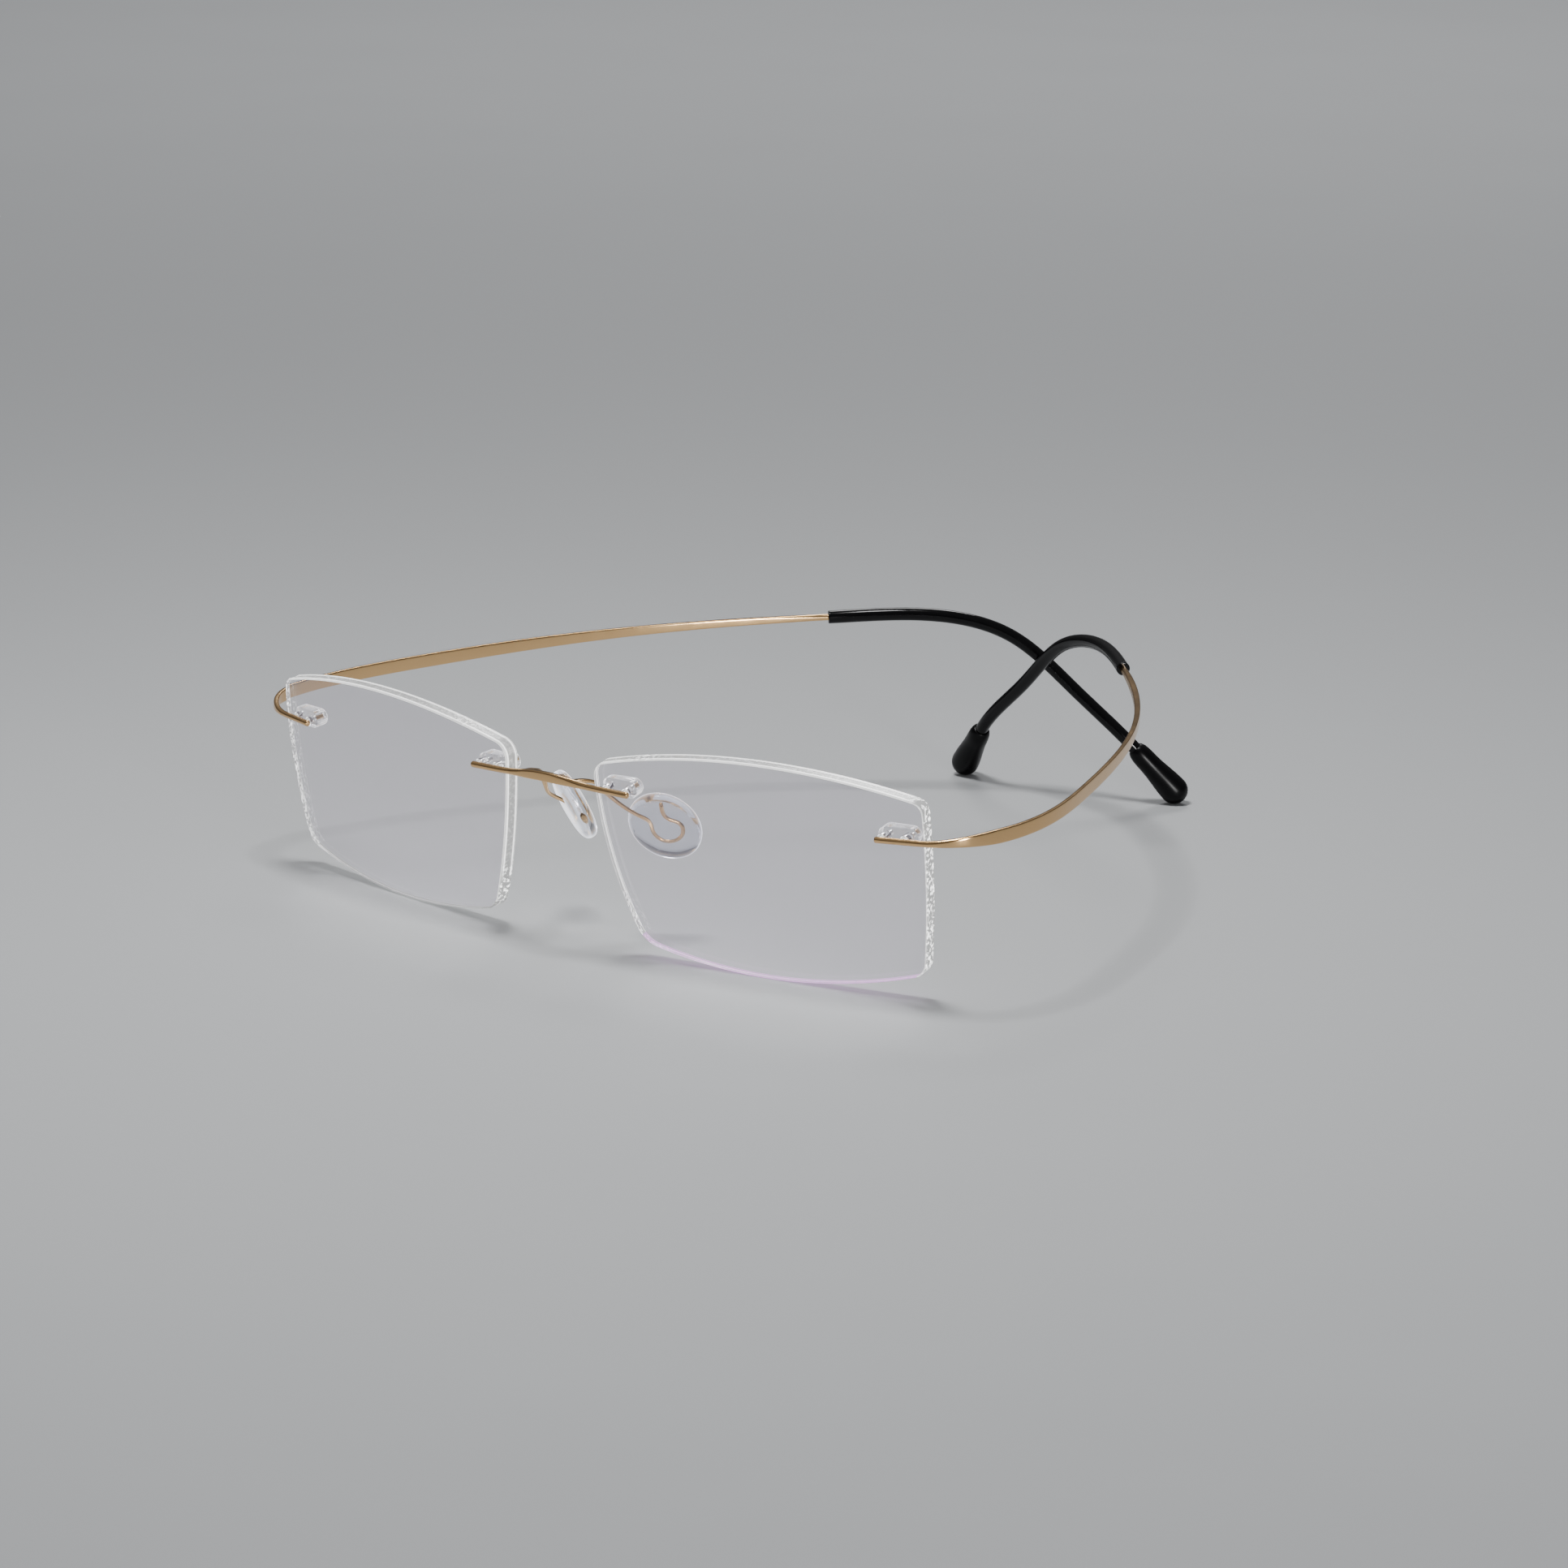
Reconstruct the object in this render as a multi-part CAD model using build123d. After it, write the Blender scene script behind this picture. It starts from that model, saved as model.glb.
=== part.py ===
from build123d import *
import os
from math import cos, sin, radians, sqrt

# Rimless, screwless eyeglasses standing on a table with both temples relaxed, in millimetres.
# +Z is up, the front faces -Y and the wearer's left is +X. The origin is on the table, midway
# between the lenses and below the most forward point of each lens.

# ---- driving dimensions: lenses ----
LENS_WIDTH = 50.0          # box width of one lens
LENS_HEIGHT = 30.6         # box height of one lens
LENS_THICKNESS = 2.1
LENS_RADIUS = 176.0        # radius of the front curve
LENS_EDGE_BREAK = 0.18     # polished chamfer round both faces
BRIDGE_GAP = 16.1          # shortest distance between the two lens boxes
WRAP = 9.7                 # degrees that each lens turns back towards the temple
LEAN = 9.2                 # degrees that each lens leans forward at the top
CORNER_TOP_NASAL = 2.4
CORNER_TOP_TEMPLE = 1.9
CORNER_BOTTOM_TEMPLE = 2.6
CORNER_BOTTOM_NASAL = 4.0

# ---- driving dimensions: rods, pegs and plugs that hold the lenses ----
BRIDGE_ROD = 0.9           # diameter of the bridge bar's round ends
BRIDGE_MID_HEIGHT = 1.3    # flattened middle of the bridge bar
BRIDGE_MID_DEPTH = 0.95
BRIDGE_ARCH_UP = 0.6       # rise of the bar's middle above its lens edges
BRIDGE_ARCH_OUT = 0.9      # how far the bar's middle stands forward of its lens edges
TEMPLE_ROD = 0.86          # diameter of the temple's round front rod
BRIDGE_LEVEL = 8.3         # height of the bridge rods above the lens centre
TEMPLE_LEVEL = 7.2         # height of the temple rods above the lens centre
BRIDGE_ROD_INSET = 5.9     # how far a bridge rod reaches over the lens
TEMPLE_ROD_INSET = 6.8     # how far a temple rod reaches over the lens
BRIDGE_ROD_STOP = 0.6      # how far inside the lens edge a bridge rod stops being straight
TEMPLE_ROD_STOP = 0.4      # how far inside the lens edge a temple rod stops being straight
ROD_GAP = 0.05             # air between a rod and the lens face
PEG_DIAMETER = 0.62
PEG_SPACING = 3.2
PEG_END = 0.75             # distance from a rod's tip to its first peg
PEG_TAIL = 0.3             # how far a peg stops short of its plug's end
PLUG_DIAMETER = 2.4        # each barrel of the clear plug behind the lens
PLUG_DEPTH = 1.7           # how far the plug stands behind the lens
SLEEVE_DIAMETER = 1.3      # the plug's two sleeves inside the lens holes
NECKING = 0.97             # a ribbon's end is this share of the rod or wire that it runs into
PRESS_GAP = 0.02           # radial gap of a peg in its plug and of a plug in its lens

# ---- driving dimensions: temples ----
SIDE_OUT = 7.4             # how far the blade's widest point stands outside the temple rod's root
SIDE_SETBACK = 10.6        # from the lens edge back to the blade's widest point
CORNER_INSET = 2.5         # how far inside the widest point the front bend passes
CORNER_SETBACK = 3.2       # how far behind the lens edge the front bend passes
EAR_REACH = 99.5           # from the lens back to the ear bend
EAR_GAP = 31.8             # between the two ear bends while the temples are relaxed
EAR_RISE = 4.4             # rise of the ear bend above the blade's widest point
SIDE_RISE = 0.9            # rise of the blade's widest point above the temple rod
TAIL_INWARD = 33.4         # how far the tail runs inward from the ear bend
TAIL_BACK = 17.2           # how far the tail runs back from the ear bend
TAIL_SET = 5.1             # degrees that the left tail is set forward and the right one back
BLADE_HEIGHT = 1.95
BLADE_THICKNESS = 0.6
WIRE_DIAMETER = 1.0        # round wire that carries the black sleeve
FLEX_AT = 0.105            # fraction of the blade's length where it bends as it is opened
FLEX_GAP = 0.3             # gap that parts the fixed and the moving length of the blade
COVER_DIAMETER = 1.95      # black sleeve
COVER_GAP = 0.05
BULB_DIAMETER = 4.2        # soft bulb at the tail's end
BULB_NECK = 2.4
BULB_SOCKET = 3.0          # how far the black sleeve goes into the bulb

# ---- driving dimensions: nose pads ----
PAD_LENGTH = 11.6
PAD_WIDTH = 9.3
PAD_THICKNESS = 2.7
PAD_SPREAD = 17.0          # between the centres of the two pads
PAD_BACK = 15.05           # from the arm's root on the bridge bar back to the pad's centre
PAD_DROP = 7.9             # from the arm's root on the bridge bar down to the pad's centre
PAD_SPLAY = 56.0           # degrees that the pad's skin side turns from the nose to the back
PAD_TIP = 28.0             # degrees that the pad's skin side faces up
PAD_TURN = -29.0           # degrees that the pad's long axis turns in its own plane
PAD_WIRE = 0.56
PAD_WIRE_GAP = 0.03
PAD_LOOP = 2.0             # radius of the wire loop inside the pad
PAD_LOOP_DROP = 0.5        # how far the loop's centre is below the pad's centre
PAD_LOOP_ASIDE = 0.2       # how far the loop's centre is towards the pad's rear edge
PAD_WIRE_TOP = 3.9         # how far above the pad's centre the wire's straight end stops
PAD_WIRE_ASIDE = 1.65      # how far towards the pad's rear edge it stops
PAD_WIRE_END = 2.0         # length of the straight end
PAD_WIRE_LEAN = 15.0       # degrees that the straight end leans towards the rear edge
PAD_ENTRY = (1.9, -1.0, -0.9)      # where the arm has become wire, in the pad's own axes
PAD_ENTRY_RUN = (-1.3, -0.45, 0.65)  # the wire's direction there
ARM_WIDTH = 1.25           # the pad arm's flattened root
ARM_ROOT_GAP = 0.12        # air between the pad arm's root and the bridge bar
ARM_ROOT_X = 4.4           # where the pad arm leaves the bridge bar
# the arm's bends, as shares of the way from its root to the pad: sideways, back and down
ARM_BENDS = ((0.208, 0.263, 0.069), (0.772, 0.569, 0.501), (1.1, 0.731, 0.727))

os.makedirs("parts", exist_ok=True)

LEFT = 1
RIGHT = -1
MIRROR = Plane.YZ


# ---- lenses ----
def lens_outline():
    """The lens outline: four arcs with rounded corners, +X towards the temple."""
    half_w = LENS_WIDTH / 2
    half_h = LENS_HEIGHT / 2
    top_nasal = (-1.012 * half_w, 0.750 * half_h)
    top_temple = (0.990 * half_w, 0.798 * half_h)
    bottom_temple = (0.948 * half_w, -0.782 * half_h)
    bottom_nasal = (-0.760 * half_w, -0.858 * half_h)
    edges = [
        ThreePointArc(top_nasal, (0.04 * half_w, half_h), top_temple),
        ThreePointArc(top_temple, (half_w, 0.18 * half_h), bottom_temple),
        ThreePointArc(bottom_temple, (0.02 * half_w, -half_h), bottom_nasal),
        ThreePointArc(bottom_nasal, (-0.925 * half_w, -0.13 * half_h), top_nasal),
    ]
    face = make_face(edges)
    corners = (
        (top_nasal, CORNER_TOP_NASAL),
        (top_temple, CORNER_TOP_TEMPLE),
        (bottom_temple, CORNER_BOTTOM_TEMPLE),
        (bottom_nasal, CORNER_BOTTOM_NASAL),
    )
    for corner, radius in corners:
        vertex = face.vertices().sort_by_distance((corner[0], corner[1], 0))[0]
        face = fillet(vertex, radius)
    return face


def sag(u, v):
    """How far the lens face falls back from its most forward point."""
    return LENS_RADIUS - sqrt(LENS_RADIUS ** 2 - u ** 2 - v ** 2)


def lens_blank():
    """One lens without holes, front point at the origin, facing +Z."""
    depth = sag(LENS_WIDTH / 2, LENS_HEIGHT / 2) + LENS_THICKNESS + 2
    blank = extrude(lens_outline(), amount=-depth)
    centre = Pos(0, 0, -LENS_RADIUS) * Rot(90, 0, 0)
    blank = (blank & centre * Sphere(LENS_RADIUS)) - centre * Sphere(LENS_RADIUS - LENS_THICKNESS)
    blank = blank.solid()
    rims = blank.faces().sort_by(Axis.Z)
    curved = [face for face in rims if face.geom_type == GeomType.SPHERE]
    rim_edges = ShapeList([edge for face in curved for edge in face.edges()])
    return chamfer(rim_edges, LENS_EDGE_BREAK)


def lens_plane(height):
    """The left lens's own plane: x towards the temple, y up the lens, z out of its front."""
    wrap = radians(WRAP)
    lean = radians(LEAN)
    across = Vector(cos(wrap), sin(wrap), 0)
    forward = Vector(sin(wrap) * cos(lean), -cos(wrap) * cos(lean), -sin(lean))
    centre_x = (BRIDGE_GAP + LENS_WIDTH * cos(wrap)) / 2
    return Plane(origin=(centre_x, 0, height), x_dir=across, z_dir=forward)


BLANK = lens_blank()
LENS_RISE = -(lens_plane(0).location * BLANK).bounding_box().min.Z
LENS = lens_plane(LENS_RISE)


def on_lens(u, v, lift):
    """A point that stands lift in front of the left lens's front face."""
    return LENS.from_local_coords(Vector(u, v, lift - sag(u, v)))


def peg_places(tip_u, inward):
    """Two peg places along a rod, from the one nearest the lens centre outwards."""
    first = tip_u + inward * PEG_END
    return (first, first + inward * PEG_SPACING)


BRIDGE_TIP_U = -(LENS_WIDTH / 2 - BRIDGE_ROD_INSET)
TEMPLE_TIP_U = LENS_WIDTH / 2 - TEMPLE_ROD_INSET
BRIDGE_PEGS = peg_places(BRIDGE_TIP_U, -1)
TEMPLE_PEGS = peg_places(TEMPLE_TIP_U, 1)


def lens():
    """The left lens with four peg holes."""
    drilled = BLANK
    for places, level in ((BRIDGE_PEGS, BRIDGE_LEVEL), (TEMPLE_PEGS, TEMPLE_LEVEL)):
        for u in places:
            drilled = drilled - Pos(u, level, 0) * Cylinder(SLEEVE_DIAMETER / 2 + PRESS_GAP, 30)
    return LENS.location * drilled


def plug(places, level):
    """A clear plug: a double barrel behind the lens with two sleeves through its holes."""
    middle = (places[0] + places[1]) / 2
    back = -sag(middle, level) - LENS_THICKNESS - PLUG_DEPTH
    barrels = Pos(middle, level, back) * extrude(SlotCenterToCenter(PEG_SPACING, PLUG_DIAMETER), PLUG_DEPTH + 1)
    barrels = (barrels - BLANK).solids().sort_by(Axis.Z)[0]
    for u in places:
        front = -sag(u, level)
        length = front - back
        barrels = barrels + Pos(u, level, back + length / 2) * Cylinder(SLEEVE_DIAMETER / 2, length)
        barrels = barrels - Pos(u, level, back + length / 2) * Cylinder(PEG_DIAMETER / 2 + PRESS_GAP, length + 2)
    return LENS.location * barrels


def peg(u, level, rod):
    """One peg, from the rod it is welded to, through the lens and into the plug."""
    top = ROD_GAP + rod / 2 - sag(u, level)
    bottom = -sag(u, level) - LENS_THICKNESS - PLUG_DEPTH + PEG_TAIL
    return LENS.location * Pos(u, level, (top + bottom) / 2) * Cylinder(PEG_DIAMETER / 2, top - bottom)


# ---- rods and ribbons ----
def smooth_line(points, start, end):
    """A curve through points, spaced by their distances, with the given end directions."""
    spacing = [0.0]
    for near, far in zip(points, points[1:]):
        spacing.append(spacing[-1] + (far - near).length)
    ends = [start.normalized(), end.normalized()]
    return Edge.make_spline(points, tangents=ends, parameters=spacing, scale=False)


def rod_between(tip, root, diameter):
    """A straight round rod with a softly rounded tip."""
    along = root - tip
    radius = diameter / 2
    soft = 0.6 * radius
    length = along.length
    middle = (radius - soft * (1 - sin(radians(45))), soft * (1 - sin(radians(45))))
    profile = [
        Line((0, 0), (radius - soft, 0)),
        ThreePointArc((radius - soft, 0), middle, (radius, soft)),
        Polyline((radius, soft), (radius, length), (0, length), (0, 0)),
    ]
    return Plane(origin=tip, z_dir=along) * revolve(Plane.XZ * make_face(profile), Axis.Z)


def section(path, at, across, height):
    """A rounded section square to the path, its height upright."""
    tangent = path % at
    side = tangent.cross(Vector(0, 0, 1))
    return Plane(origin=path @ at, x_dir=side, z_dir=tangent) * RectangleRounded(across, height, min(across, height) * 0.48)


def ribbon(path, start, end, count, size):
    """A solid through sections along a path; size gives across and height at a fraction."""
    sections = []
    for index in range(count):
        at = start + (end - start) * index / (count - 1)
        sections.append(section(path, at, *size(at)))
    return loft(sections)


def ease(at, start, end):
    """A smooth step from 0 to 1 between two places."""
    step = min(max((at - start) / (end - start), 0), 1)
    return step * step * (3 - 2 * step)


# ---- bridge ----
BRIDGE_LIFT = ROD_GAP + BRIDGE_ROD / 2
BRIDGE_TIP = on_lens(BRIDGE_TIP_U, BRIDGE_LEVEL, BRIDGE_LIFT)
BRIDGE_ROOT = on_lens(BRIDGE_ROD_STOP - LENS_WIDTH / 2, BRIDGE_LEVEL, BRIDGE_LIFT)


def flipped(point):
    return Vector(-point.X, point.Y, point.Z)


def bridge_path():
    """The bar's middle line between the two round rods."""
    middle = Vector(0, BRIDGE_ROOT.Y - BRIDGE_ARCH_OUT, BRIDGE_ROOT.Z + BRIDGE_ARCH_UP)
    start = BRIDGE_ROOT - BRIDGE_TIP
    end = flipped(BRIDGE_TIP - BRIDGE_ROOT)
    return smooth_line([BRIDGE_ROOT, middle, flipped(BRIDGE_ROOT)], start, end)


def bridge_size(at):
    flat = ease(1 - abs(2 * at - 1), 0.05, 0.85)
    end = BRIDGE_ROD * NECKING
    return end + (BRIDGE_MID_DEPTH - end) * flat, end + (BRIDGE_MID_HEIGHT - end) * flat


BRIDGE_PATH = bridge_path()


def bridge_bar():
    left_rod = rod_between(BRIDGE_TIP, BRIDGE_ROOT, BRIDGE_ROD)
    bar = ribbon(BRIDGE_PATH, 0, 1, 13, bridge_size)
    return bar + left_rod + mirror(left_rod, about=MIRROR)


# ---- temples ----
TEMPLE_LIFT = ROD_GAP + TEMPLE_ROD / 2
TEMPLE_TIP = on_lens(TEMPLE_TIP_U, TEMPLE_LEVEL, TEMPLE_LIFT)
TEMPLE_ROOT = on_lens(LENS_WIDTH / 2 - TEMPLE_ROD_STOP, TEMPLE_LEVEL, TEMPLE_LIFT)
SIDE = Vector(TEMPLE_ROOT.X + SIDE_OUT, TEMPLE_ROOT.Y + SIDE_SETBACK, TEMPLE_ROOT.Z + SIDE_RISE)
EAR = Vector(EAR_GAP / 2, EAR_REACH, SIDE.Z + EAR_RISE)


def along_arm(back, inward):
    """A point between the blade's widest point and the ear bend, by its two fractions."""
    x = SIDE.X + (EAR.X - SIDE.X) * inward
    y = SIDE.Y + (EAR.Y - SIDE.Y) * back
    z = SIDE.Z + (EAR.Z - SIDE.Z) * back
    return Vector(x, y, z)


COVER_START = along_arm(0.888, 0.767)


def blade_path():
    """The blade's middle line from the lens edge to the mouth of the black sleeve."""
    corner_z = (TEMPLE_ROOT.Z + SIDE.Z) / 2
    corner = Vector(SIDE.X - CORNER_INSET, TEMPLE_ROOT.Y + CORNER_SETBACK, corner_z)
    points = [TEMPLE_ROOT, corner, SIDE, along_arm(0.243, 0.080), along_arm(0.547, 0.306), COVER_START]
    return smooth_line(points, TEMPLE_ROOT - TEMPLE_TIP, along_arm(1, 1) - along_arm(0.733, 0.527))


def tail_point(inward, back, drop, side):
    """A point on one tail, by fractions of its run, turned about the ear bend by TAIL_SET."""
    turn = radians(TAIL_SET) * side
    x = -TAIL_INWARD * inward
    y = TAIL_BACK * back
    z = (EAR.Z - BULB_DIAMETER / 2) * drop
    return Vector(EAR.X + x * cos(turn) - y * sin(turn), EAR.Y + x * sin(turn) + y * cos(turn), EAR.Z - z)


BLADE_PATH = blade_path()


def tail_ends(side):
    """Where the bulb starts, and the centre of its round end."""
    return tail_point(0.852, 0.802, 0.751, side), tail_point(1, 1, 1, side)


def tail_path(side):
    """The tail's middle line from the mouth of the black sleeve to the bulb."""
    neck, ball = tail_ends(side)
    points = [COVER_START, EAR, tail_point(0.317, 0.378, 0.112, side), tail_point(0.582, 0.61, 0.414, side), neck]
    return smooth_line(points, BLADE_PATH % 1, ball - neck)


def blade_size(at):
    grow = ease(at, 0.0, 0.12)
    taper = ease(at, 0.35, 1.0)
    front = TEMPLE_ROD * NECKING
    rear = WIRE_DIAMETER * NECKING
    height = front + (BLADE_HEIGHT - front) * grow + (rear - BLADE_HEIGHT) * taper
    across = front + (BLADE_THICKNESS - front) * grow + (rear - BLADE_THICKNESS) * taper
    return across, height


FLEX_POINT = BLADE_PATH @ FLEX_AT


def temple_mount():
    """The fixed front of the temple: the rod on the lens and the bend up to the flex axis."""
    rod = rod_between(TEMPLE_TIP, TEMPLE_ROOT, TEMPLE_ROD)
    bend = ribbon(BLADE_PATH, 0, FLEX_AT, 8, blade_size)
    relief = Pos(*FLEX_POINT) * Cylinder(BLADE_THICKNESS / 2 + FLEX_GAP, 4 * BLADE_HEIGHT)
    return (rod + bend - relief).solids().sort_by(SortBy.VOLUME)[-1]


def temple_blade(side):
    """The moving blade, from the flex axis to the end of its wire tail in the black sleeve."""
    tail = tail_path(side)
    wire = sweep(Plane(origin=tail @ 0, z_dir=tail % 0) * Circle(WIRE_DIAMETER / 2), path=tail)
    return ribbon(BLADE_PATH, FLEX_AT, 1, 16, blade_size) + wire


def cover(side):
    """The black sleeve: a tube round the wire tail that ends inside the bulb."""
    tail = tail_path(side)
    ring = Circle(COVER_DIAMETER / 2) - Circle(WIRE_DIAMETER / 2 + COVER_GAP)
    tube = sweep(Plane(origin=tail @ 0, z_dir=tail % 0) * ring, path=tail)
    spigot = Plane(origin=tail @ 1, z_dir=tail % 1) * extrude(Circle(COVER_DIAMETER / 2), BULB_SOCKET)
    return tube + spigot


def bulb(side):
    """The bulb: a drop-shaped tip with a blind socket for the black sleeve."""
    neck, ball = tail_ends(side)
    along = ball - neck
    radius = BULB_DIAMETER / 2
    length = along.length
    flank = Spline(
        [(BULB_NECK / 2, 0), (0.86 * radius, 0.32 * length), (radius, length)],
        tangents=[(0.5, 1), (0, 1)],
    )
    tip = RadiusArc((radius, length), (0, length + radius), -radius)
    axis = Polyline((0, length + radius), (0, 0), (BULB_NECK / 2, 0))
    drop = revolve(Plane.XZ * make_face([flank, tip, axis]), Axis.Z)
    socket = Pos(0, 0, BULB_SOCKET / 2) * Cylinder(COVER_DIAMETER / 2 + PRESS_GAP, BULB_SOCKET)
    return Plane(origin=neck, z_dir=along) * (drop - socket)


# ---- nose pads ----
ARM_ROOT = BRIDGE_PATH @ (0.5 - ARM_ROOT_X / (2 * BRIDGE_ROOT.X)) + Vector(0, BRIDGE_MID_DEPTH / 2 + ARM_ROOT_GAP, 0)


def pad_plane():
    """The left pad's middle plane: x up its long axis, z out of its skin side."""
    splay = radians(PAD_SPLAY)
    tip = radians(PAD_TIP)
    centre = Vector(PAD_SPREAD / 2, ARM_ROOT.Y + PAD_BACK, ARM_ROOT.Z - PAD_DROP)
    skin = Vector(-cos(splay) * cos(tip), sin(splay) * cos(tip), sin(tip))
    up = (Vector(0, 0, 1) - skin * skin.Z).normalized()
    return Plane(Plane(origin=centre, x_dir=up, z_dir=skin).location * Rot(0, 0, PAD_TURN))


PAD = pad_plane()


def in_pad(x, y, z):
    return PAD.from_local_coords(Vector(x, y, z))


ARM_END = in_pad(*PAD_ENTRY)
ARM_END_RUN = in_pad(*PAD_ENTRY_RUN) - in_pad(0, 0, 0)


def arm_path():
    """The pad arm's middle line from behind the bridge bar into the pad."""
    way = ARM_END - ARM_ROOT
    bends = [ARM_ROOT + Vector(way.X * aside, way.Y * back, way.Z * down) for aside, back, down in ARM_BENDS]
    return smooth_line([ARM_ROOT, *bends, ARM_END], Vector(0.12, 1, 0), ARM_END_RUN)


def loop_path():
    """The wire loop in the pad's middle plane: most of a circle, then a straight end."""
    points = [ARM_END]
    for turn in (-80, -130, 180, 130, 80, 35):
        up, aside = cos(radians(turn)), sin(radians(turn))
        points.append(in_pad(PAD_LOOP * up - PAD_LOOP_DROP, PAD_LOOP * aside + PAD_LOOP_ASIDE, 0))
    lean = radians(PAD_WIRE_LEAN)
    points.append(in_pad(PAD_WIRE_TOP - PAD_WIRE_END * cos(lean), PAD_WIRE_ASIDE - PAD_WIRE_END * sin(lean), 0))
    points.append(in_pad(PAD_WIRE_TOP, PAD_WIRE_ASIDE, 0))
    return smooth_line(points, ARM_END_RUN, points[-1] - points[-2])


def arm_size(at):
    narrow = ease(at, 0.05, 0.7)
    wire = PAD_WIRE * NECKING
    return ARM_WIDTH + (wire - ARM_WIDTH) * narrow, wire


def pad_arm():
    """The pad arm: a strip that narrows to a round wire and ends in a loop."""
    arm = ribbon(arm_path(), 0, 1, 10, arm_size)
    loop = loop_path()
    wire = sweep(Plane(origin=loop @ 0, z_dir=loop % 0) * Circle(PAD_WIRE / 2), path=loop)
    return arm + wire


def pad():
    """The clear pad: an oval cushion moulded round the wire loop."""
    oval = extrude(Ellipse(PAD_LENGTH / 2, PAD_WIDTH / 2), PAD_THICKNESS / 2, both=True)
    oval = fillet(oval.edges(), PAD_THICKNESS * 0.42)
    loop = loop_path()
    bore = PAD_WIRE / 2 + PAD_WIRE_GAP
    channel = sweep(Plane(origin=loop @ 0, z_dir=loop % 0) * Circle(bore), path=loop)
    arm = arm_path()
    slit = sweep(Plane(origin=arm @ 0, z_dir=arm % 0) * Circle(bore), path=arm)
    return PAD.location * oval - channel - slit - Pos(*(loop @ 0)) * Sphere(bore) - Pos(*(loop @ 1)) * Sphere(bore)


# ---- write every piece ----
def write(name, shape):
    solid = shape.solids().sort_by(SortBy.VOLUME)[-1]
    solid.label = name
    export_step(solid, "parts/" + name + ".step")


def write_pair(name, shape):
    """Write a left piece and its mirrored right one."""
    write(name + "_left", shape)
    write(name + "_right", mirror(shape, about=MIRROR))


def write_pegs(name, places, level, diameter, rod):
    for u, place in zip(places, ("inner", "outer")):
        write_pair(name + "_" + place, peg(u, level, diameter) - rod)


BAR = bridge_bar()
MOUNT = temple_mount()
write("bridge_bar", BAR)
write_pair("lens", lens())
write_pair("bridge_plug", plug(BRIDGE_PEGS, BRIDGE_LEVEL))
write_pair("temple_plug", plug(TEMPLE_PEGS, TEMPLE_LEVEL))
write_pegs("bridge_peg", BRIDGE_PEGS, BRIDGE_LEVEL, BRIDGE_ROD, BAR)
write_pegs("temple_peg", TEMPLE_PEGS, TEMPLE_LEVEL, TEMPLE_ROD, MOUNT)
write_pair("nose_pad_arm", pad_arm())
write_pair("nose_pad", pad())
write_pair("temple_mount", MOUNT)
for side, name in ((LEFT, "left"), (RIGHT, "right")):
    for piece, shape in (
        ("temple_blade_", temple_blade(side)),
        ("temple_sleeve_", cover(side)),
        ("temple_bulb_", bulb(side)),
    ):
        write(piece + name, shape if side == LEFT else mirror(shape, about=MIRROR))
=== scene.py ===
import math

import bmesh
import bpy
import numpy as np
from mathutils import Matrix, Vector


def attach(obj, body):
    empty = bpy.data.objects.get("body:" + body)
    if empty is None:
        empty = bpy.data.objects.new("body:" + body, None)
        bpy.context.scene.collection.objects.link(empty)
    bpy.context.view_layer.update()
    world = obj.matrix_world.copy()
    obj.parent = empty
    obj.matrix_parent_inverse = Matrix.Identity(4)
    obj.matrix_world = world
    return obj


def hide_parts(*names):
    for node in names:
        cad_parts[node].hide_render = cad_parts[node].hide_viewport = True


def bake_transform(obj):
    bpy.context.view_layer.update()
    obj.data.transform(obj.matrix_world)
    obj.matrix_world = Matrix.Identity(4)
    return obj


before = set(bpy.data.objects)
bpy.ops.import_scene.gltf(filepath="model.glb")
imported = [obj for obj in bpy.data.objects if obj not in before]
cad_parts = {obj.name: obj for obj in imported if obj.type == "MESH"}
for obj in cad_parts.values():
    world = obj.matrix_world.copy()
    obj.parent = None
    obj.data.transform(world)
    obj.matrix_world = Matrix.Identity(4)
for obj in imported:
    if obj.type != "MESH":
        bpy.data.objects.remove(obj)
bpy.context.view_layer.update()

bl_info = {
    "name": "Rimless Eyeglasses",
    "version": (1, 0, 0),
    "blender": (4, 5, 0),
    "location": "3D View > Sidebar > Eyeglasses",
    "description": "Builds rimless eyeglasses with clear lenses and thin metal temples",
    "category": "Add Mesh",
}

# The glasses stand on a table: +Z is up, the front faces -Y and the wearer's left is +X.
# The origin is on the table, midway between the lenses. Every length is in metres.
MM = 0.001
SIDES = (("left", 1), ("right", -1))


# ---- the sizes and colours that a user would change ----
def linear(code):
    """A linear RGBA colour from an sRGB hex code."""
    channels = [int(code[place:place + 2], 16) / 255 for place in (1, 3, 5)]
    return [c / 12.92 if c <= 0.04045 else ((c + 0.055) / 1.055) ** 2.4 for c in channels] + [1.0]


def length(name, description, millimetres):
    return bpy.props.FloatProperty(
        name=name, description=description, default=millimetres * MM, unit="LENGTH", precision=5
    )


def angle(name, description, degrees):
    return bpy.props.FloatProperty(
        name=name, description=description, default=math.radians(degrees), subtype="ANGLE", unit="ROTATION"
    )


def colour(name, description, code):
    return bpy.props.FloatVectorProperty(
        name=name, description=description, default=linear(code), size=4, min=0.0, max=1.0, subtype="COLOR"
    )


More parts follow.
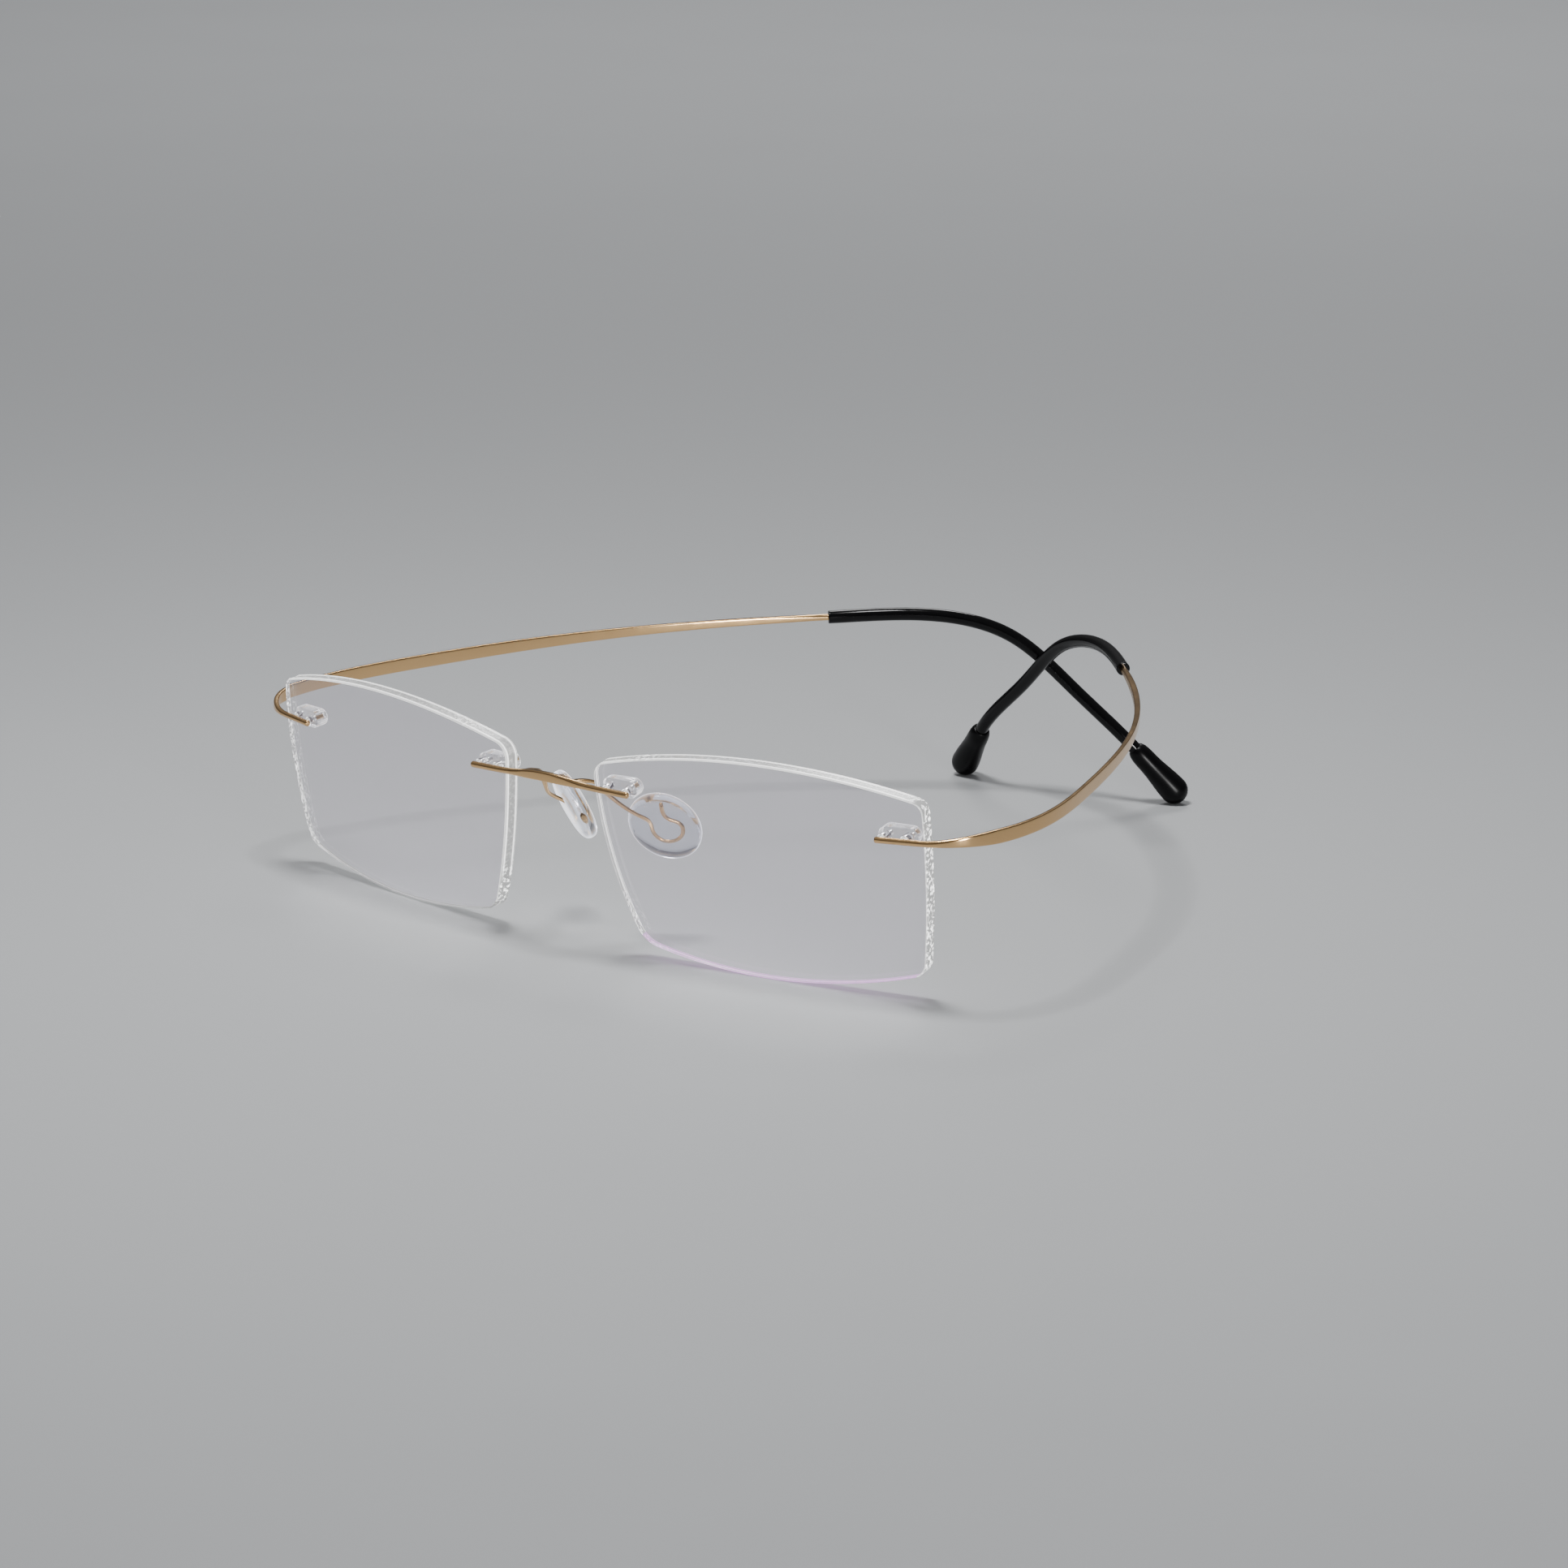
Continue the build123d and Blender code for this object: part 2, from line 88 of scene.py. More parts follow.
class LensSizes(bpy.types.PropertyGroup):
    width: length("Width", "Box width of one lens", 50.0)
    height: length("Height", "Box height of one lens", 30.6)
    thickness: length("Thickness", "Thickness of the lens", 2.1)
    radius: length("Front Curve", "Radius of the front face", 176.0)
    edge_break: length("Edge Break", "Polished chamfer round both faces", 0.18)
    ripple: length("Edge Ripple", "Depth of the hand polishing waves on the edge", 0.035)
    bridge_gap: length("Bridge Gap", "Shortest distance between the two lenses", 16.1)
    wrap: angle("Wrap", "How far each lens turns back towards the temple", 9.7)
    lean: angle("Lean", "How far each lens leans forward at the top", 9.2)
    corner_top_nasal: length("Top Nasal Corner", "Radius of the upper corner at the nose", 2.4)
    corner_top_temple: length("Top Temple Corner", "Radius of the upper corner at the temple", 1.9)
    corner_bottom_temple: length("Bottom Temple Corner", "Radius of the lower corner at the temple", 2.6)
    corner_bottom_nasal: length("Bottom Nasal Corner", "Radius of the lower corner at the nose", 4.0)


class HolderSizes(bpy.types.PropertyGroup):
    bridge_rod: length("Bridge Rod", "Diameter of the bridge bar's round ends", 0.9)
    bridge_middle_height: length("Bridge Middle Height", "Height of the bar's flattened middle", 1.3)
    bridge_middle_depth: length("Bridge Middle Depth", "Depth of the bar's flattened middle", 0.95)
    bridge_arch_up: length("Bridge Arch Up", "Rise of the bar's middle", 0.6)
    bridge_arch_out: length("Bridge Arch Out", "How far the bar's middle stands forward", 0.9)
    temple_rod: length("Temple Rod", "Diameter of the temple's round front rod", 0.86)
    bridge_level: length("Bridge Level", "Height of the bridge rods above the lens centre", 8.3)
    temple_level: length("Temple Level", "Height of the temple rods above the lens centre", 7.2)
    bridge_inset: length("Bridge Inset", "How far a bridge rod reaches over the lens", 5.9)
    temple_inset: length("Temple Inset", "How far a temple rod reaches over the lens", 6.8)
    bridge_stop: length("Bridge Rod Stop", "How far inside the lens edge a bridge rod starts to bend", 0.6)
    temple_stop: length("Temple Rod Stop", "How far inside the lens edge a temple rod starts to bend", 0.4)
    rod_gap: length("Rod Gap", "Air between a rod and the lens face", 0.05)
    peg: length("Peg", "Diameter of the pegs", 0.62)
    peg_spacing: length("Peg Spacing", "Distance between the two pegs of a rod", 3.2)
    peg_end: length("Peg End", "Distance from a rod's tip to its first peg", 0.75)
    peg_tail: length("Peg Tail", "How far a peg stops short of its plug's end", 0.3)
    plug: length("Plug", "Diameter of each barrel of the clear plug", 2.4)
    plug_depth: length("Plug Depth", "How far the plug stands behind the lens", 1.7)
    sleeve: length("Plug Sleeve", "Diameter of the plug's sleeves in the lens holes", 1.3)
    press_gap: length("Press Gap", "Radial gap of a peg in its plug and of a plug in its lens", 0.02)


class TempleSizes(bpy.types.PropertyGroup):
    side_out: length("Side Out", "How far the blade's widest point stands outside the rod's root", 7.4)
    side_setback: length("Side Setback", "From the lens edge back to the blade's widest point", 10.6)
    side_rise: length("Side Rise", "Rise of the blade's widest point above the rod", 0.9)
    corner_inset: length("Corner Inset", "How far inside the widest point the front bend passes", 2.5)
    corner_setback: length("Corner Setback", "How far behind the lens edge the front bend passes", 3.2)
    ear_reach: length("Ear Reach", "From the lens back to the ear bend", 99.5)
    ear_gap: length("Ear Gap", "Between the two ear bends", 31.8)
    ear_rise: length("Ear Rise", "Rise of the ear bend above the blade's widest point", 4.4)
    tail_inward: length("Tail Inward", "How far the tail runs inward from the ear bend", 33.4)
    tail_back: length("Tail Back", "How far the tail runs back from the ear bend", 17.2)
    tail_set: angle("Tail Set", "How far the left tail is set forward and the right one back", 5.1)
    blade_height: length("Blade Height", "Height of the flat blade", 1.95)
    blade_thickness: length("Blade Thickness", "Thickness of the flat blade", 0.6)
    wire: length("Wire", "Diameter of the wire in the black sleeve", 1.0)
    cover: length("Sleeve", "Diameter of the black sleeve", 1.95)
    bulb: length("Bulb", "Diameter of the bulb's round end", 4.2)
    bulb_neck: length("Bulb Neck", "Diameter of the bulb's mouth", 2.4)


class PadSizes(bpy.types.PropertyGroup):
    pad_length: length("Length", "Long axis of the oval pad", 11.6)
    width: length("Width", "Short axis of the oval pad", 9.3)
    thickness: length("Thickness", "Thickness of the pad", 2.7)
    spread: length("Spread", "Between the centres of the two pads", 17.0)
    back: length("Back", "From the arm's root back to the pad's centre", 15.05)
    drop: length("Drop", "From the arm's root down to the pad's centre", 7.9)
    splay: angle("Splay", "How far the skin side turns from the nose to the back", 56.0)
    tip: angle("Tip", "How far the skin side faces up", 28.0)
    turn: angle("Turn", "How far the long axis turns in the pad's own plane", -29.0)
    wire: length("Wire", "Diameter of the pad wire", 0.56)
    loop: length("Loop", "Radius of the wire loop inside the pad", 2.0)
    loop_drop: length("Loop Drop", "How far the loop's centre is below the pad's centre", 0.5)
    loop_aside: length("Loop Aside", "How far the loop's centre is towards the rear edge", 0.2)
    wire_top: length("Wire Top", "How far above the pad's centre the wire ends", 3.9)
    wire_aside: length("Wire Aside", "How far towards the rear edge the wire ends", 1.65)
    wire_end: length("Wire End", "Length of the wire's straight end", 2.0)
    wire_lean: angle("Wire Lean", "How far the wire's straight end leans to the rear edge", 15.0)
    arm_width: length("Arm Width", "Width of the arm's flattened root", 1.25)
    root_gap: length("Root Gap", "Air between the arm's root and the bridge bar", 0.12)
    root_place: length("Root Place", "Where the arm leaves the bridge bar, from its middle", 4.4)


class Finishes(bpy.types.PropertyGroup):
    metal: colour("Metal", "Rose gold plating on the titanium", "#E3BA84")
    resin: colour("Resin", "Faint tint of the coated resin", "#FBF9FD")
    # colour of the painted violet sheen, a weak glow on the lens faces
    coating: colour("Coating", "Residual tint of the anti-reflection coating", "#B9A2D8")
    # colour of the painted glow on the lens edges and on the right lens's lower bevel
    edge: colour("Edge", "Light that leaves the polished lens edge", "#F4F5F3")
    # painted reflection: the lilac glow that the left lens's lower bevel gives off, though it is no lamp
    bevel: colour("Bevel", "Tint that the coating gives the lower bevel", "#E6A0F0")
    # also the colour of the plugs' painted rim glow
    plug: colour("Plugs", "Clear moulded plugs", "#FBFCFC")
    # also the colour of the pads' painted rim glow
    silicone: colour("Silicone", "Clear silicone of the nose pads", "#EEF1FA")
    sleeve: colour("Sleeves", "Black extruded sleeves", "#040405")
    bulb: colour("Bulbs", "Black rubber bulbs", "#030304")
    floor: colour("Floor", "Pale matt table", "#A8AAAC")


class StageSizes(bpy.types.PropertyGroup):
    azimuth: angle("Azimuth", "Camera's direction from the front towards the wearer's left", 39.004)
    elevation: angle("Elevation", "Camera's height above the table as an angle", 13.505)
    roll: angle("Roll", "Camera's turn about its own line of sight", 0.594)
    distance: length("Distance", "From the camera to its target", 816.43)
    target: bpy.props.FloatVectorProperty(
        name="Target",
        description="Point at the middle of the picture",
        default=(5.176 * MM, 40.0 * MM, 15.64 * MM),
        subtype="TRANSLATION",
        unit="LENGTH",
        precision=5,
    )
    focal: bpy.props.FloatProperty(
        name="Focal Length", description="Camera's focal length", default=133.91, unit="CAMERA"
    )
    floor: length("Floor", "Side of the square floor", 12000.0)
    lamp_height: length("Lamp Height", "Height of the lamp above the table", 400.0)
    lamp_size: length("Lamp Size", "Diameter of the lamp's diffuser", 95.0)


def settings(name):
    return getattr(bpy.context.scene, "eyeglasses_" + name)


# ---- smooth lines ----
def unit(vector):
    vector = np.array(vector, float)
    return vector / np.linalg.norm(vector)


class Route:
    """A smooth curve through points, spaced by their distances, with the given end directions."""

    FINE = 1200

    def __init__(self, points, start, end):
        self.points = np.array(points, float)
        steps = np.linalg.norm(np.diff(self.points, axis=0), axis=1)
        self.knots = np.concatenate([[0.0], np.cumsum(steps)])
        count = len(self.points)
        system = np.eye(count)
        wanted = np.zeros((count, 3))
        wanted[0], wanted[-1] = unit(start), unit(end)
        for i in range(1, count - 1):
            before, after = steps[i - 1], steps[i]
            system[i, i - 1:i + 2] = 1 / before, 2 / before + 2 / after, 1 / after
            run = (self.points[i] - self.points[i - 1]) / before ** 2
            wanted[i] = 3 * (run + (self.points[i + 1] - self.points[i]) / after ** 2)
        self.slopes = np.linalg.solve(system, wanted)
        self.fine = np.linspace(0, self.knots[-1], self.FINE)
        places = self.place(self.fine)
        runs = np.linalg.norm(np.diff(places, axis=0), axis=1)
        self.travel = np.concatenate([[0.0], np.cumsum(runs)])
        self.length = self.travel[-1]

    def place(self, knot):
        """Points at these values of the curve's own parameter."""
        span = np.clip(np.searchsorted(self.knots, knot, side="right") - 1, 0, len(self.knots) - 2)
        width = (self.knots[span + 1] - self.knots[span])[:, None]
        t = ((knot - self.knots[span]) / width[:, 0])[:, None]
        rise = 3 * t ** 2 - 2 * t ** 3
        bend = self.slopes[span] * (t - 2 * t ** 2 + t ** 3) + self.slopes[span + 1] * (t ** 3 - t ** 2)
        return self.points[span] * (1 - rise) + self.points[span + 1] * rise + width * bend

    def at(self, shares):
        """Points at these shares of the curve's length."""
        return self.place(np.interp(np.array(shares) * self.length, self.travel, self.fine))

    def one(self, part):
        return self.at([part])[0]


def ease(at, start, end):
    """A smooth step from 0 to 1 between two places."""
    step = np.clip((np.array(at, float) - start) / (end - start), 0, 1)
    return step * step * (3 - 2 * step)


def mirrored(points):
    return np.array(points, float) * (-1, 1, 1)


# ---- places that the pieces share, on the wearer's left ----
class Plan:
    """Worked-out places: the lens plane, the rods' ends, and the lines of bar, blade, tails and arms."""

    OUTLINE = ((-1.012, 0.750), (0.990, 0.798), (0.948, -0.782), (-0.760, -0.858))
    CROWNS = ((0.04, 1.0), (1.0, 0.18), (0.02, -1.0), (-0.925, -0.13))
    SIDE_STEPS, CORNER_STEPS = 74, 14
    NECKING = 0.97  # a flattened stretch starts this share of its round rod's diameter
    PAD_ENTRY = np.array((1.9, -1.0, -0.9)) * MM
    PAD_ENTRY_RUN = np.array((-1.3, -0.45, 0.65)) * MM
    ARM_BENDS = ((0.208, 0.263, 0.069), (0.772, 0.569, 0.501), (1.1, 0.731, 0.727))
    LOOP_TURNS = (-80, -130, 180, 130, 80, 35)
    ARM_START = (0.12, 1, 0)
    TEMPLE_BEND_END, ARM_BEND_END = 0.24, 0.3  # shares of the blade and of the arm that end their front stretch; the points there are worked out but not used
    # shares of the way back and inward from the blade's widest point to the ear bend
    SLEEVE_START = (0.888, 0.767)
    BLADE_BENDS = ((0.243, 0.080), (0.547, 0.306))
    BLADE_END_AIM = (0.733, 0.527)
    # shares of the tail's run inward, back and down from the ear bend
    TAIL_BENDS = ((0.317, 0.378, 0.112), (0.582, 0.61, 0.414))
    BULB_NECK = (0.852, 0.802, 0.751)

    def __init__(self):
        self.lens, self.holder = settings("lens"), settings("holder")
        self.temple, self.pad = settings("temple"), settings("pad")
        self.place_lens()
        self.place_bridge()
        self.place_temple()
        self.place_pad()

    def place_lens(self):
        lens = self.lens
        wrap, lean = lens.wrap, lens.lean
        self.across = np.array((math.cos(wrap), math.sin(wrap), 0))
        self.forward = np.array(
            (math.sin(wrap) * math.cos(lean), -math.cos(wrap) * math.cos(lean), -math.sin(lean))
        )
        self.upward = np.cross(self.forward, self.across)
        self.origin = np.array(((lens.bridge_gap + lens.width * math.cos(wrap)) / 2, 0, 0))
        outline = self.outline(0.0)
        low = min(self.lens_point(u, v, 0)[2] for u, v in outline)
        back_low = min(self.lens_point(u, v, -lens.thickness)[2] for u, v in outline)
        self.origin[2] = -min(low, back_low) - 0.5 * lens.edge_break * math.sin(lean)

    def sag(self, u, v):
        """How far the lens face falls back from its most forward point."""
        return self.lens.radius - math.sqrt(self.lens.radius ** 2 - u * u - v * v)

    def back_sag(self, u, v):
        """How far the lens's back face is behind its most forward point."""
        return self.lens.radius - math.sqrt((self.lens.radius - self.lens.thickness) ** 2 - u * u - v * v)

    def lens_point(self, u, v, lift):
        """A point that stands lift in front of the left lens's front face."""
        return self.in_lens(u, v, lift - self.sag(u, v))

    def in_lens(self, u, v, w):
        return self.origin + self.across * u + self.upward * v + self.forward * w

    def outline(self, inset):
        """The lens outline's points: four arcs with rounded corners, all moved inward by inset."""
        lens = self.lens
        half = np.array((lens.width / 2, lens.height / 2))
        corners = [half * corner for corner in self.OUTLINE]
        crowns = [half * crown for crown in self.CROWNS]
        radii = (
            lens.corner_top_nasal, lens.corner_top_temple, lens.corner_bottom_temple, lens.corner_bottom_nasal
        )
        sides = [circle_through(corners[i], crowns[i], corners[(i + 1) % 4]) for i in range(4)]
        rounds = []
        for i, corner in enumerate(corners):
            (before, before_radius), (after, after_radius) = sides[i - 1], sides[i]
            rounds.append(meeting(before, before_radius - radii[i], after, after_radius - radii[i], corner))
        points = []
        for i in range(4):
            j = (i + 1) % 4
            centre, radius = sides[i]
            start, end = touch(centre, rounds[i]), touch(centre, rounds[j])
            points += arc(centre, radius - inset, start, end, self.SIDE_STEPS)
            leave = end_angle(rounds[j], end, centre, radius)
            arrive = end_angle(rounds[j], touch(sides[j][0], rounds[j]), *sides[j])
            points += arc(rounds[j], radii[j] - inset, leave, arrive, self.CORNER_STEPS)
        return points

    def place_bridge(self):
        lens, holder = self.lens, self.holder
        lift = holder.rod_gap + holder.bridge_rod / 2
        self.bridge_tip_u = -(lens.width / 2 - holder.bridge_inset)
        self.bridge_tip = self.lens_point(self.bridge_tip_u, holder.bridge_level, lift)
        self.bridge_root = self.lens_point(holder.bridge_stop - lens.width / 2, holder.bridge_level, lift)
        root = self.bridge_root
        middle = (0, root[1] - holder.bridge_arch_out, root[2] + holder.bridge_arch_up)
        start = root - self.bridge_tip
        self.bridge = Route([root, middle, mirrored(root)], start, mirrored(-start))

    def place_temple(self):
        lens, holder, temple = self.lens, self.holder, self.temple
        lift = holder.rod_gap + holder.temple_rod / 2
        self.temple_tip_u = lens.width / 2 - holder.temple_inset
        self.temple_tip = self.lens_point(self.temple_tip_u, holder.temple_level, lift)
        root = self.lens_point(lens.width / 2 - holder.temple_stop, holder.temple_level, lift)
        self.temple_root = root
        self.side = root + (temple.side_out, temple.side_setback, temple.side_rise)
        self.ear = np.array((temple.ear_gap / 2, temple.ear_reach, self.side[2] + temple.ear_rise))
        self.cover_start = self.along_arm(*self.SLEEVE_START)
        corner = (
            self.side[0] - temple.corner_inset, root[1] + temple.corner_setback, (root[2] + self.side[2]) / 2
        )
        bends = [self.along_arm(*bend) for bend in self.BLADE_BENDS]
        points = [root, corner, self.side, *bends, self.cover_start]
        end = self.along_arm(1, 1) - self.along_arm(*self.BLADE_END_AIM)
        self.blade = Route(points, root - self.temple_tip, end)

    def along_arm(self, back, inward):
        """A point between the blade's widest point and the ear bend, by its two fractions."""
        return self.side + (self.ear - self.side) * (inward, back, back)

    def tail_point(self, inward, back, drop, side):
        """A point on one tail, by fractions of its run, turned about the ear bend by the tail set."""
        temple = self.temple
        turn = temple.tail_set * side
        x, y = -temple.tail_inward * inward, temple.tail_back * back
        z = (self.ear[2] - temple.bulb / 2) * drop
        turned = (x * math.cos(turn) - y * math.sin(turn), x * math.sin(turn) + y * math.cos(turn), -z)
        return self.ear + turned

    def tail(self, side):
        """The tail's middle line from the mouth of the black sleeve to the bulb."""
        neck, ball = self.tail_ends(side)
        bends = [self.tail_point(*bend, side) for bend in self.TAIL_BENDS]
        return Route([self.cover_start, self.ear, *bends, neck], self.blade.slopes[-1], ball - neck)

    def tail_ends(self, side):
        """Where the bulb starts, and the centre of its round end."""
        return self.tail_point(*self.BULB_NECK, side), self.tail_point(1, 1, 1, side)

    def place_pad(self):
        holder, pad = self.holder, self.pad
        share_along = 0.5 - pad.root_place / (2 * self.bridge_root[0])
        behind = (0, holder.bridge_middle_depth / 2 + pad.root_gap, 0)
        self.arm_root = self.bridge.one(share_along) + behind
        self.pad_centre = np.array((pad.spread / 2, self.arm_root[1] + pad.back, self.arm_root[2] - pad.drop))
        flat = math.cos(pad.tip)
        self.skin = np.array((-math.cos(pad.splay) * flat, math.sin(pad.splay) * flat, math.sin(pad.tip)))
        up = unit(np.array((0, 0, 1)) - self.skin * self.skin[2])
        aside = np.cross(self.skin, up)
        self.pad_up = up * math.cos(pad.turn) + aside * math.sin(pad.turn)
        self.pad_aside = aside * math.cos(pad.turn) - up * math.sin(pad.turn)
        entry = self.in_pad(*self.PAD_ENTRY)
        entry_run = self.in_pad(*self.PAD_ENTRY_RUN) - self.pad_centre
        way = entry - self.arm_root
        bends = [self.arm_root + way * np.array(bend) for bend in self.ARM_BENDS]
        self.arm = Route([self.arm_root, *bends, entry], self.ARM_START, entry_run)
        points = [entry]
        for turn in self.LOOP_TURNS:
            up_part, side_part = math.cos(math.radians(turn)), math.sin(math.radians(turn))
            x, y = pad.loop * up_part - pad.loop_drop, pad.loop * side_part + pad.loop_aside
            points.append(self.in_pad(x, y, 0))
        x = pad.wire_top - pad.wire_end * math.cos(pad.wire_lean)
        y = pad.wire_aside - pad.wire_end * math.sin(pad.wire_lean)
        points += [self.in_pad(x, y, 0), self.in_pad(pad.wire_top, pad.wire_aside, 0)]
        self.loop = Route(points, entry_run, points[-1] - points[-2])

    def in_pad(self, x, y, z):
        return self.pad_centre + self.pad_up * x + self.pad_aside * y + self.skin * z


def circle_through(a, b, c):
    """The centre and radius of the circle through three points of a plane."""
    system = 2 * np.array((b - a, c - a))
    centre = np.linalg.solve(system, (b @ b - a @ a, c @ c - a @ a))
    return centre, np.linalg.norm(a - centre)


def meeting(a, a_radius, b, b_radius, near):
    """Where two circles meet, nearest to a point."""
    gap = np.linalg.norm(b - a)
    along = (gap ** 2 + a_radius ** 2 - b_radius ** 2) / (2 * gap)
    rise = math.sqrt(a_radius ** 2 - along ** 2)
    way = (b - a) / gap
    crossings = [a + way * along + np.array((-way[1], way[0])) * rise * sign for sign in (1, -1)]
    return min(crossings, key=lambda point: np.linalg.norm(point - near))


def touch(centre, inner):
    """The angle at which a circle about centre touches a smaller one inside it, about inner."""
    return math.atan2(inner[1] - centre[1], inner[0] - centre[0])


def end_angle(corner, angle_on_side, centre, radius):
    """The angle, seen from a corner's centre, of a point on a side's circle."""
    point = centre + radius * np.array((math.cos(angle_on_side), math.sin(angle_on_side)))
    return math.atan2(point[1] - corner[1], point[0] - corner[0])


def arc(centre, radius, start, end, steps):
    """Points on an arc the short way from start to end, without its last point."""
    sweep = (end - start + math.pi) % (2 * math.pi) - math.pi
    angles = [start + sweep * step / steps for step in range(steps)]
    return [centre + radius * np.array((math.cos(a), math.sin(a))) for a in angles]


# ---- meshes ----
def new_object(name, vertices, faces=(), edges=()):
    mesh = bpy.data.meshes.new(name)
    mesh.from_pydata([tuple(vertex) for vertex in vertices], edges, faces)
    made = bpy.data.objects.new(name, mesh)
    bpy.context.scene.collection.objects.link(made)
    return made


def bridge_rings(first, second):
    """Quads between two rings of vertex numbers."""
    count = len(first)
    return [(first[i], first[(i + 1) % count], second[(i + 1) % count], second[i]) for i in range(count)]


def rings_to_object(name, rings, start=None, end=None):
    """A closed skin over rings of points, each end closed by a point or a flat face."""
    count = len(rings[0])
    vertices = [point for ring in rings for point in ring]
    numbers = [list(range(i * count, (i + 1) * count)) for i in range(len(rings))]
    faces = []
    for first, second in zip(numbers, numbers[1:]):
        faces += bridge_rings(first, second)
    for ring, pole in ((numbers[0], start), (numbers[-1], end)):
        if pole is None:
            faces.append(tuple(ring))
        else:
            vertices.append(pole)
            top = len(vertices) - 1
            faces += [(ring[i], ring[(i + 1) % count], top) for i in range(count)]
    return new_object(name, vertices, faces)


def face_outwards(made):
    mesh = bmesh.new()
    mesh.from_mesh(made.data)
    bmesh.ops.remove_doubles(mesh, verts=mesh.verts, dist=0.0005 * MM)
    bmesh.ops.recalc_face_normals(mesh, faces=mesh.faces)
    mesh.to_mesh(made.data)
    mesh.free()


def smooth(made, crease=None):
    """Smooth shading, with edges sharper than crease, in degrees, left sharp."""
    made.data.polygons.foreach_set("use_smooth", [True] * len(made.data.polygons))
    if crease:
        made.data.set_sharp_from_angle(angle=math.radians(crease))


def settle(made):
    """Turns an object with modifiers into a plain mesh."""
    bpy.context.view_layer.update()
    evaluated = made.evaluated_get(bpy.context.evaluated_depsgraph_get())
    mesh = bpy.data.meshes.new_from_object(evaluated)
    made.modifiers.clear()
    old = made.data
    made.data = mesh
    bpy.data.meshes.remove(old)
    mesh.name = made.name
    return made


def cut(made, tool, operation="DIFFERENCE"):
    """Cuts one closed mesh with another, or joins the two, and removes the tool."""
    modifier = made.modifiers.new("Cut", "BOOLEAN")
    modifier.operation = operation
    modifier.solver = "EXACT"
    modifier.object = tool
    settle(made)
    bpy.data.objects.remove(tool)
    return made


def cylinder(centre, axis, radius, depth, sides=40):
    """A closed cylinder about centre, along axis."""
    axis = Vector(axis).normalized()
    turn = axis.to_track_quat("Z", "Y").to_matrix()
    ring = []
    for end in (-0.5, 0.5):
        for i in range(sides):
            a = 2 * math.pi * i / sides
            spot = turn @ Vector((radius * math.cos(a), radius * math.sin(a), depth * end))
            ring.append(np.array(centre) + np.array(spot))
    return rings_to_object("tool", [ring[:sides], ring[sides:]])


def mirror(made):
    """Turns a piece of the wearer's left side into the right one, in place."""
    made.data.transform(Matrix.Diagonal((-1, 1, 1, 1)))
    made.data.flip_normals()


def mirror_copy(made, name):
    """The wearer's right copy of a left piece."""
    copy = made.copy()
    copy.data = made.data.copy()
    copy.name = copy.data.name = name
    mirror(copy)
    bpy.context.scene.collection.objects.link(copy)
    return copy


# ---- geometry nodes ----
def add(tree, kind, links=None, **options):
    """Adds a node with its options; each link is a value, a socket, or a node for its first output."""
    node = tree.nodes.new(kind)
    for name, value in options.items():
        setattr(node, name, value)
    for name, value in (links or {}).items():
        if isinstance(value, bpy.types.Node):
            value = value.outputs[0]
        if isinstance(value, bpy.types.NodeSocket):
            tree.links.new(value, node.inputs[name])
        else:
            node.inputs[name].default_value = value
    return node


def new_tree(name, sockets):
    """A geometry tree with a geometry input and output and the named inputs."""
    tree = bpy.data.node_groups.new(name, "GeometryNodeTree")
    tree.interface.new_socket("Geometry", in_out="OUTPUT", socket_type="NodeSocketGeometry")
    tree.interface.new_socket("Geometry", in_out="INPUT", socket_type="NodeSocketGeometry")
    for socket_name, kind, value in sockets:
        socket = tree.interface.new_socket(socket_name, in_out="INPUT", socket_type=kind)
        if value is not None:
            socket.default_value = value
    return tree, add(tree, "NodeGroupInput").outputs


def finish_tree(tree, geometry, material):
    """Ends a tree in Realize Instances and Set Material."""
    real = add(tree, "GeometryNodeRealizeInstances", {"Geometry": geometry})
    painted = add(tree, "GeometryNodeSetMaterial", {"Geometry": real, "Material": material})
    add(tree, "NodeGroupOutput", {"Geometry": painted})


def run_tree(made, tree, values):
    """Runs a tree on an object, with its inputs by name, and keeps the result as a plain mesh."""
    modifier = made.modifiers.new(tree.name, "NODES")
    modifier.node_group = tree
    for item in tree.interface.items_tree:
        if item.in_out == "INPUT" and item.name in values:
            modifier[item.identifier] = values[item.name]
    return settle(made)


